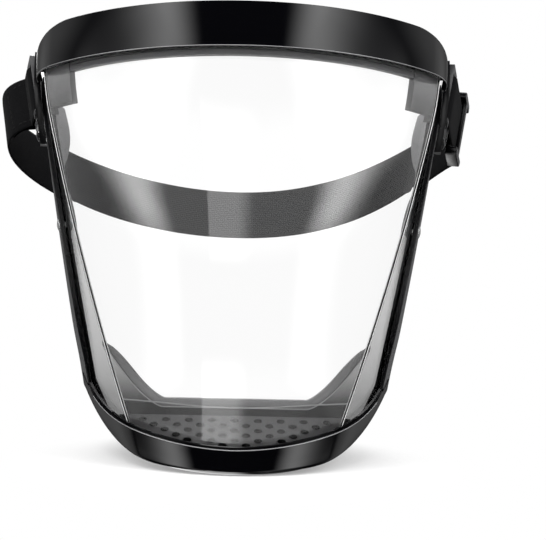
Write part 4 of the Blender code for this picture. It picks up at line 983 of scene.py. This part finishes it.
def makeWorld():
    world = bpy.data.worlds.new("studio")
    bpy.context.scene.world = world
    world.use_nodes = True
    tree = world.node_tree
    background = tree.nodes["Background"]
    background.inputs["Color"].default_value = (1, 1, 1, 1)
    place = addNode(tree, "ShaderNodeTexCoord")
    axes = addNode(tree, "ShaderNodeSeparateXYZ", None, {"Vector": place.outputs["Generated"]})
    ahead = addNode(tree, "ShaderNodeMath", {"operation": "MULTIPLY", 1: -1.0}, {0: axes.outputs["Y"]})
    spread = addNode(tree, "ShaderNodeMath", {"operation": "ABSOLUTE"}, {0: axes.outputs["X"]})
    ramp = {"interpolation_type": "SMOOTHSTEP"}
    # strip lights to left and right of the camera, leaning together overhead and brightest at shoulder height
    middle = addNode(tree, "ShaderNodeMapRange", {"From Min": 0.42, "From Max": 0.9, "To Min": 0.8, "To Max": 0.38},
                     {"Value": axes.outputs["Z"]})
    closer = addNode(tree, "ShaderNodeMapRange", {"From Min": 0.1, "From Max": 0.35, "To Min": 0.08, "To Max": 0.0},
                     {"Value": axes.outputs["Z"]})
    away = addNode(tree, "ShaderNodeMath", {"operation": "ADD"},
                   {0: spread.outputs["Value"], 1: closer.outputs["Result"]})
    away = addNode(tree, "ShaderNodeMath", {"operation": "SUBTRACT"},
                   {0: away.outputs["Value"], 1: middle.outputs["Result"]})
    away = addNode(tree, "ShaderNodeMath", {"operation": "ABSOLUTE"}, {0: away.outputs["Value"]})
    half = addNode(tree, "ShaderNodeMapRange", {"From Min": 0.5, "From Max": 0.9, "To Min": 0.21, "To Max": 0.165},
                   {"Value": axes.outputs["Z"]})
    away = addNode(tree, "ShaderNodeMath", {"operation": "DIVIDE"},
                   {0: away.outputs["Value"], 1: half.outputs["Result"]})
    strip = addNode(tree, "ShaderNodeMapRange", ramp | {"To Min": 1.0, "To Max": 0.0}, {"Value": away.outputs["Value"]})
    front = addNode(tree, "ShaderNodeMapRange", ramp | {"From Min": -0.2, "From Max": 0.05},
                    {"Value": ahead.outputs["Value"]})
    raised = addNode(tree, "ShaderNodeMapRange", ramp | {"From Min": 0.1, "From Max": 0.3, "To Min": studio["strip"],
                                                         "To Max": studio["shoulder"]}, {"Value": axes.outputs["Z"]})
    lowered = addNode(tree, "ShaderNodeMapRange", ramp | {"From Min": 0.55, "From Max": 0.8, "To Min": 1.0,
                                                          "To Max": studio["strip"] / studio["shoulder"]},
                      {"Value": axes.outputs["Z"]})
    ended = addNode(tree, "ShaderNodeMapRange", ramp | {"From Min": -0.55, "From Max": -0.44},
                    {"Value": axes.outputs["Z"]})  # the strips stop above the table
    for factor in (front.outputs["Result"], raised.outputs["Result"], lowered.outputs["Result"],
                   ended.outputs["Result"]):
        strip = addNode(tree, "ShaderNodeMath", {"operation": "MULTIPLY"}, {0: strip.outputs[0], 1: factor})
    # a lit wall behind the camera, from just above eye level to half way up, and the lit table in front
    above = addNode(tree, "ShaderNodeMapRange", ramp | {"From Min": 0.07, "From Max": 0.2},
                    {"Value": axes.outputs["Z"]})
    below = addNode(tree, "ShaderNodeMapRange", ramp | {"From Min": 0.67, "From Max": 0.83, "To Min": 1.0,
                                                        "To Max": 0.0}, {"Value": axes.outputs["Z"]})
    table = addNode(tree, "ShaderNodeMapRange", ramp | {"From Min": -0.37, "From Max": -0.53},
                    {"Value": axes.outputs["Z"]})
    lit = addNode(tree, "ShaderNodeMath", {"operation": "MULTIPLY_ADD"},
                  {0: above.outputs["Result"], 1: below.outputs["Result"], 2: table.outputs["Result"]})
    dimmer = addNode(tree, "ShaderNodeMath", {"operation": "MULTIPLY_ADD", 1: studio["table"] - 1},
                     {0: table.outputs["Result"], 2: lit.outputs["Value"]})
    facing = addNode(tree, "ShaderNodeMapRange", ramp | {"From Min": 0.1, "From Max": 0.6, "To Max": studio["wall"]},
                     {"Value": ahead.outputs["Value"]})
    # with a brighter window a little to the left of the camera, sharp on its left side
    edge = addNode(tree, "ShaderNodeMapRange", {"From Min": -0.45, "From Max": 0.1, "To Min": 0.39, "To Max": 0.29},
                   {"Value": axes.outputs["Z"]})
    inward = addNode(tree, "ShaderNodeMath", {"operation": "ADD"}, {0: axes.outputs["X"], 1: edge.outputs["Result"]})
    leftSide = addNode(tree, "ShaderNodeMapRange", ramp | {"From Min": 0.0, "From Max": 0.02},
                       {"Value": inward.outputs["Value"]})
    rightSide = addNode(tree, "ShaderNodeMapRange", ramp | {"From Min": -0.04, "From Max": 0.16,
                                                            "To Min": studio["panel"], "To Max": 0.0},
                        {"Value": axes.outputs["X"]})
    facing = addNode(tree, "ShaderNodeMath", {"operation": "MULTIPLY"},
                     {0: facing.outputs["Result"], 1: dimmer.outputs["Value"]})
    pane = addNode(tree, "ShaderNodeMath", {"operation": "MULTIPLY"}, {0: leftSide.outputs["Result"],
                                                                       1: rightSide.outputs["Result"]})
    window = addNode(tree, "ShaderNodeMath", {"operation": "MULTIPLY_ADD"},
                     {0: pane.outputs["Value"], 1: lit.outputs["Value"], 2: facing.outputs["Value"]})
    # dim behind, with a glow far to each side
    rear = addNode(tree, "ShaderNodeMapRange", ramp | {"From Min": 0.35, "From Max": 0.85, "To Min": studio["front"],
                                                       "To Max": studio["rear"]}, {"Value": axes.outputs["Y"]})
    flank = addNode(tree, "ShaderNodeMapRange", ramp | {"From Min": 0.5, "From Max": 0.75, "To Max": studio["flank"]},
                    {"Value": spread.outputs["Value"]})
    back = addNode(tree, "ShaderNodeMapRange", ramp | {"From Min": 0.1, "From Max": 0.4}, {"Value": axes.outputs["Y"]})
    rear = addNode(tree, "ShaderNodeMath", {"operation": "MULTIPLY_ADD"},
                   {0: flank.outputs["Result"], 1: back.outputs["Result"], 2: rear.outputs["Result"]})
    light = addNode(tree, "ShaderNodeMath", {"operation": "ADD"}, {0: strip.outputs["Value"], 1: rear.outputs["Value"]})
    light = addNode(tree, "ShaderNodeMath", {"operation": "ADD"},
                    {0: light.outputs["Value"], 1: window.outputs["Value"]})
    ray = addNode(tree, "ShaderNodeLightPath")
    seen = addNode(tree, "ShaderNodeMath", {"operation": "MAXIMUM"},
                   {0: ray.outputs["Is Camera Ray"], 1: ray.outputs["Is Transmission Ray"]})
    level = addNode(tree, "ShaderNodeMix", {"data_type": "FLOAT", 3: 1.0},
                    {0: seen.outputs["Value"], 2: light.outputs["Value"]})
    tree.links.new(level.outputs[0], background.inputs["Strength"])


lamps = (dict(name="keyLamp", at=(-0.35, -0.75, 0.95), size=0.7, watts=9.0),
         dict(name="fillLamp", at=(0.6, -0.6, 0.6), size=0.6, watts=5.0),
         dict(name="topLamp", at=(0.0, 0.1, 1.0), size=0.9, watts=6.0))


def makeLamps():
    for spec in lamps:
        data = bpy.data.lights.new(spec["name"], "AREA")
        data.size = spec["size"]
        data.energy = spec["watts"]
        lamp = bpy.data.objects.new(spec["name"], data)
        lamp.location = spec["at"]
        lamp.rotation_euler = (Vector(studio["lampAim"]) - Vector(spec["at"])).to_track_quat("-Z", "Y").to_euler()
        lamp.visible_camera = False
        lamp.visible_glossy = False  # the strips make the reflections
        lamp.visible_transmission = False
        bpy.context.scene.collection.objects.link(lamp)


view = dict(sensor=36, lens=81.6, picture=546, shift=(35, -2), at=(0, -0.5125, 0.085), roll=-1.2)


def makeCamera():
    data = bpy.data.cameras.new("camera")
    data.sensor_width = view["sensor"]
    data.lens = view["lens"]
    data.shift_x = view["shift"][0] / view["picture"]
    data.shift_y = view["shift"][1] / view["picture"]
    data.clip_start = 0.01
    camera = bpy.data.objects.new("camera", data)
    camera.location = view["at"]
    camera.rotation_euler = (math.pi / 2, math.radians(view["roll"]), 0)
    bpy.context.scene.collection.objects.link(camera)
    bpy.context.scene.camera = camera


makeFloor()
makeWorld()
makeLamps()
makeCamera()
bpy.context.scene.view_settings.view_transform = "Standard"
print("studio done")
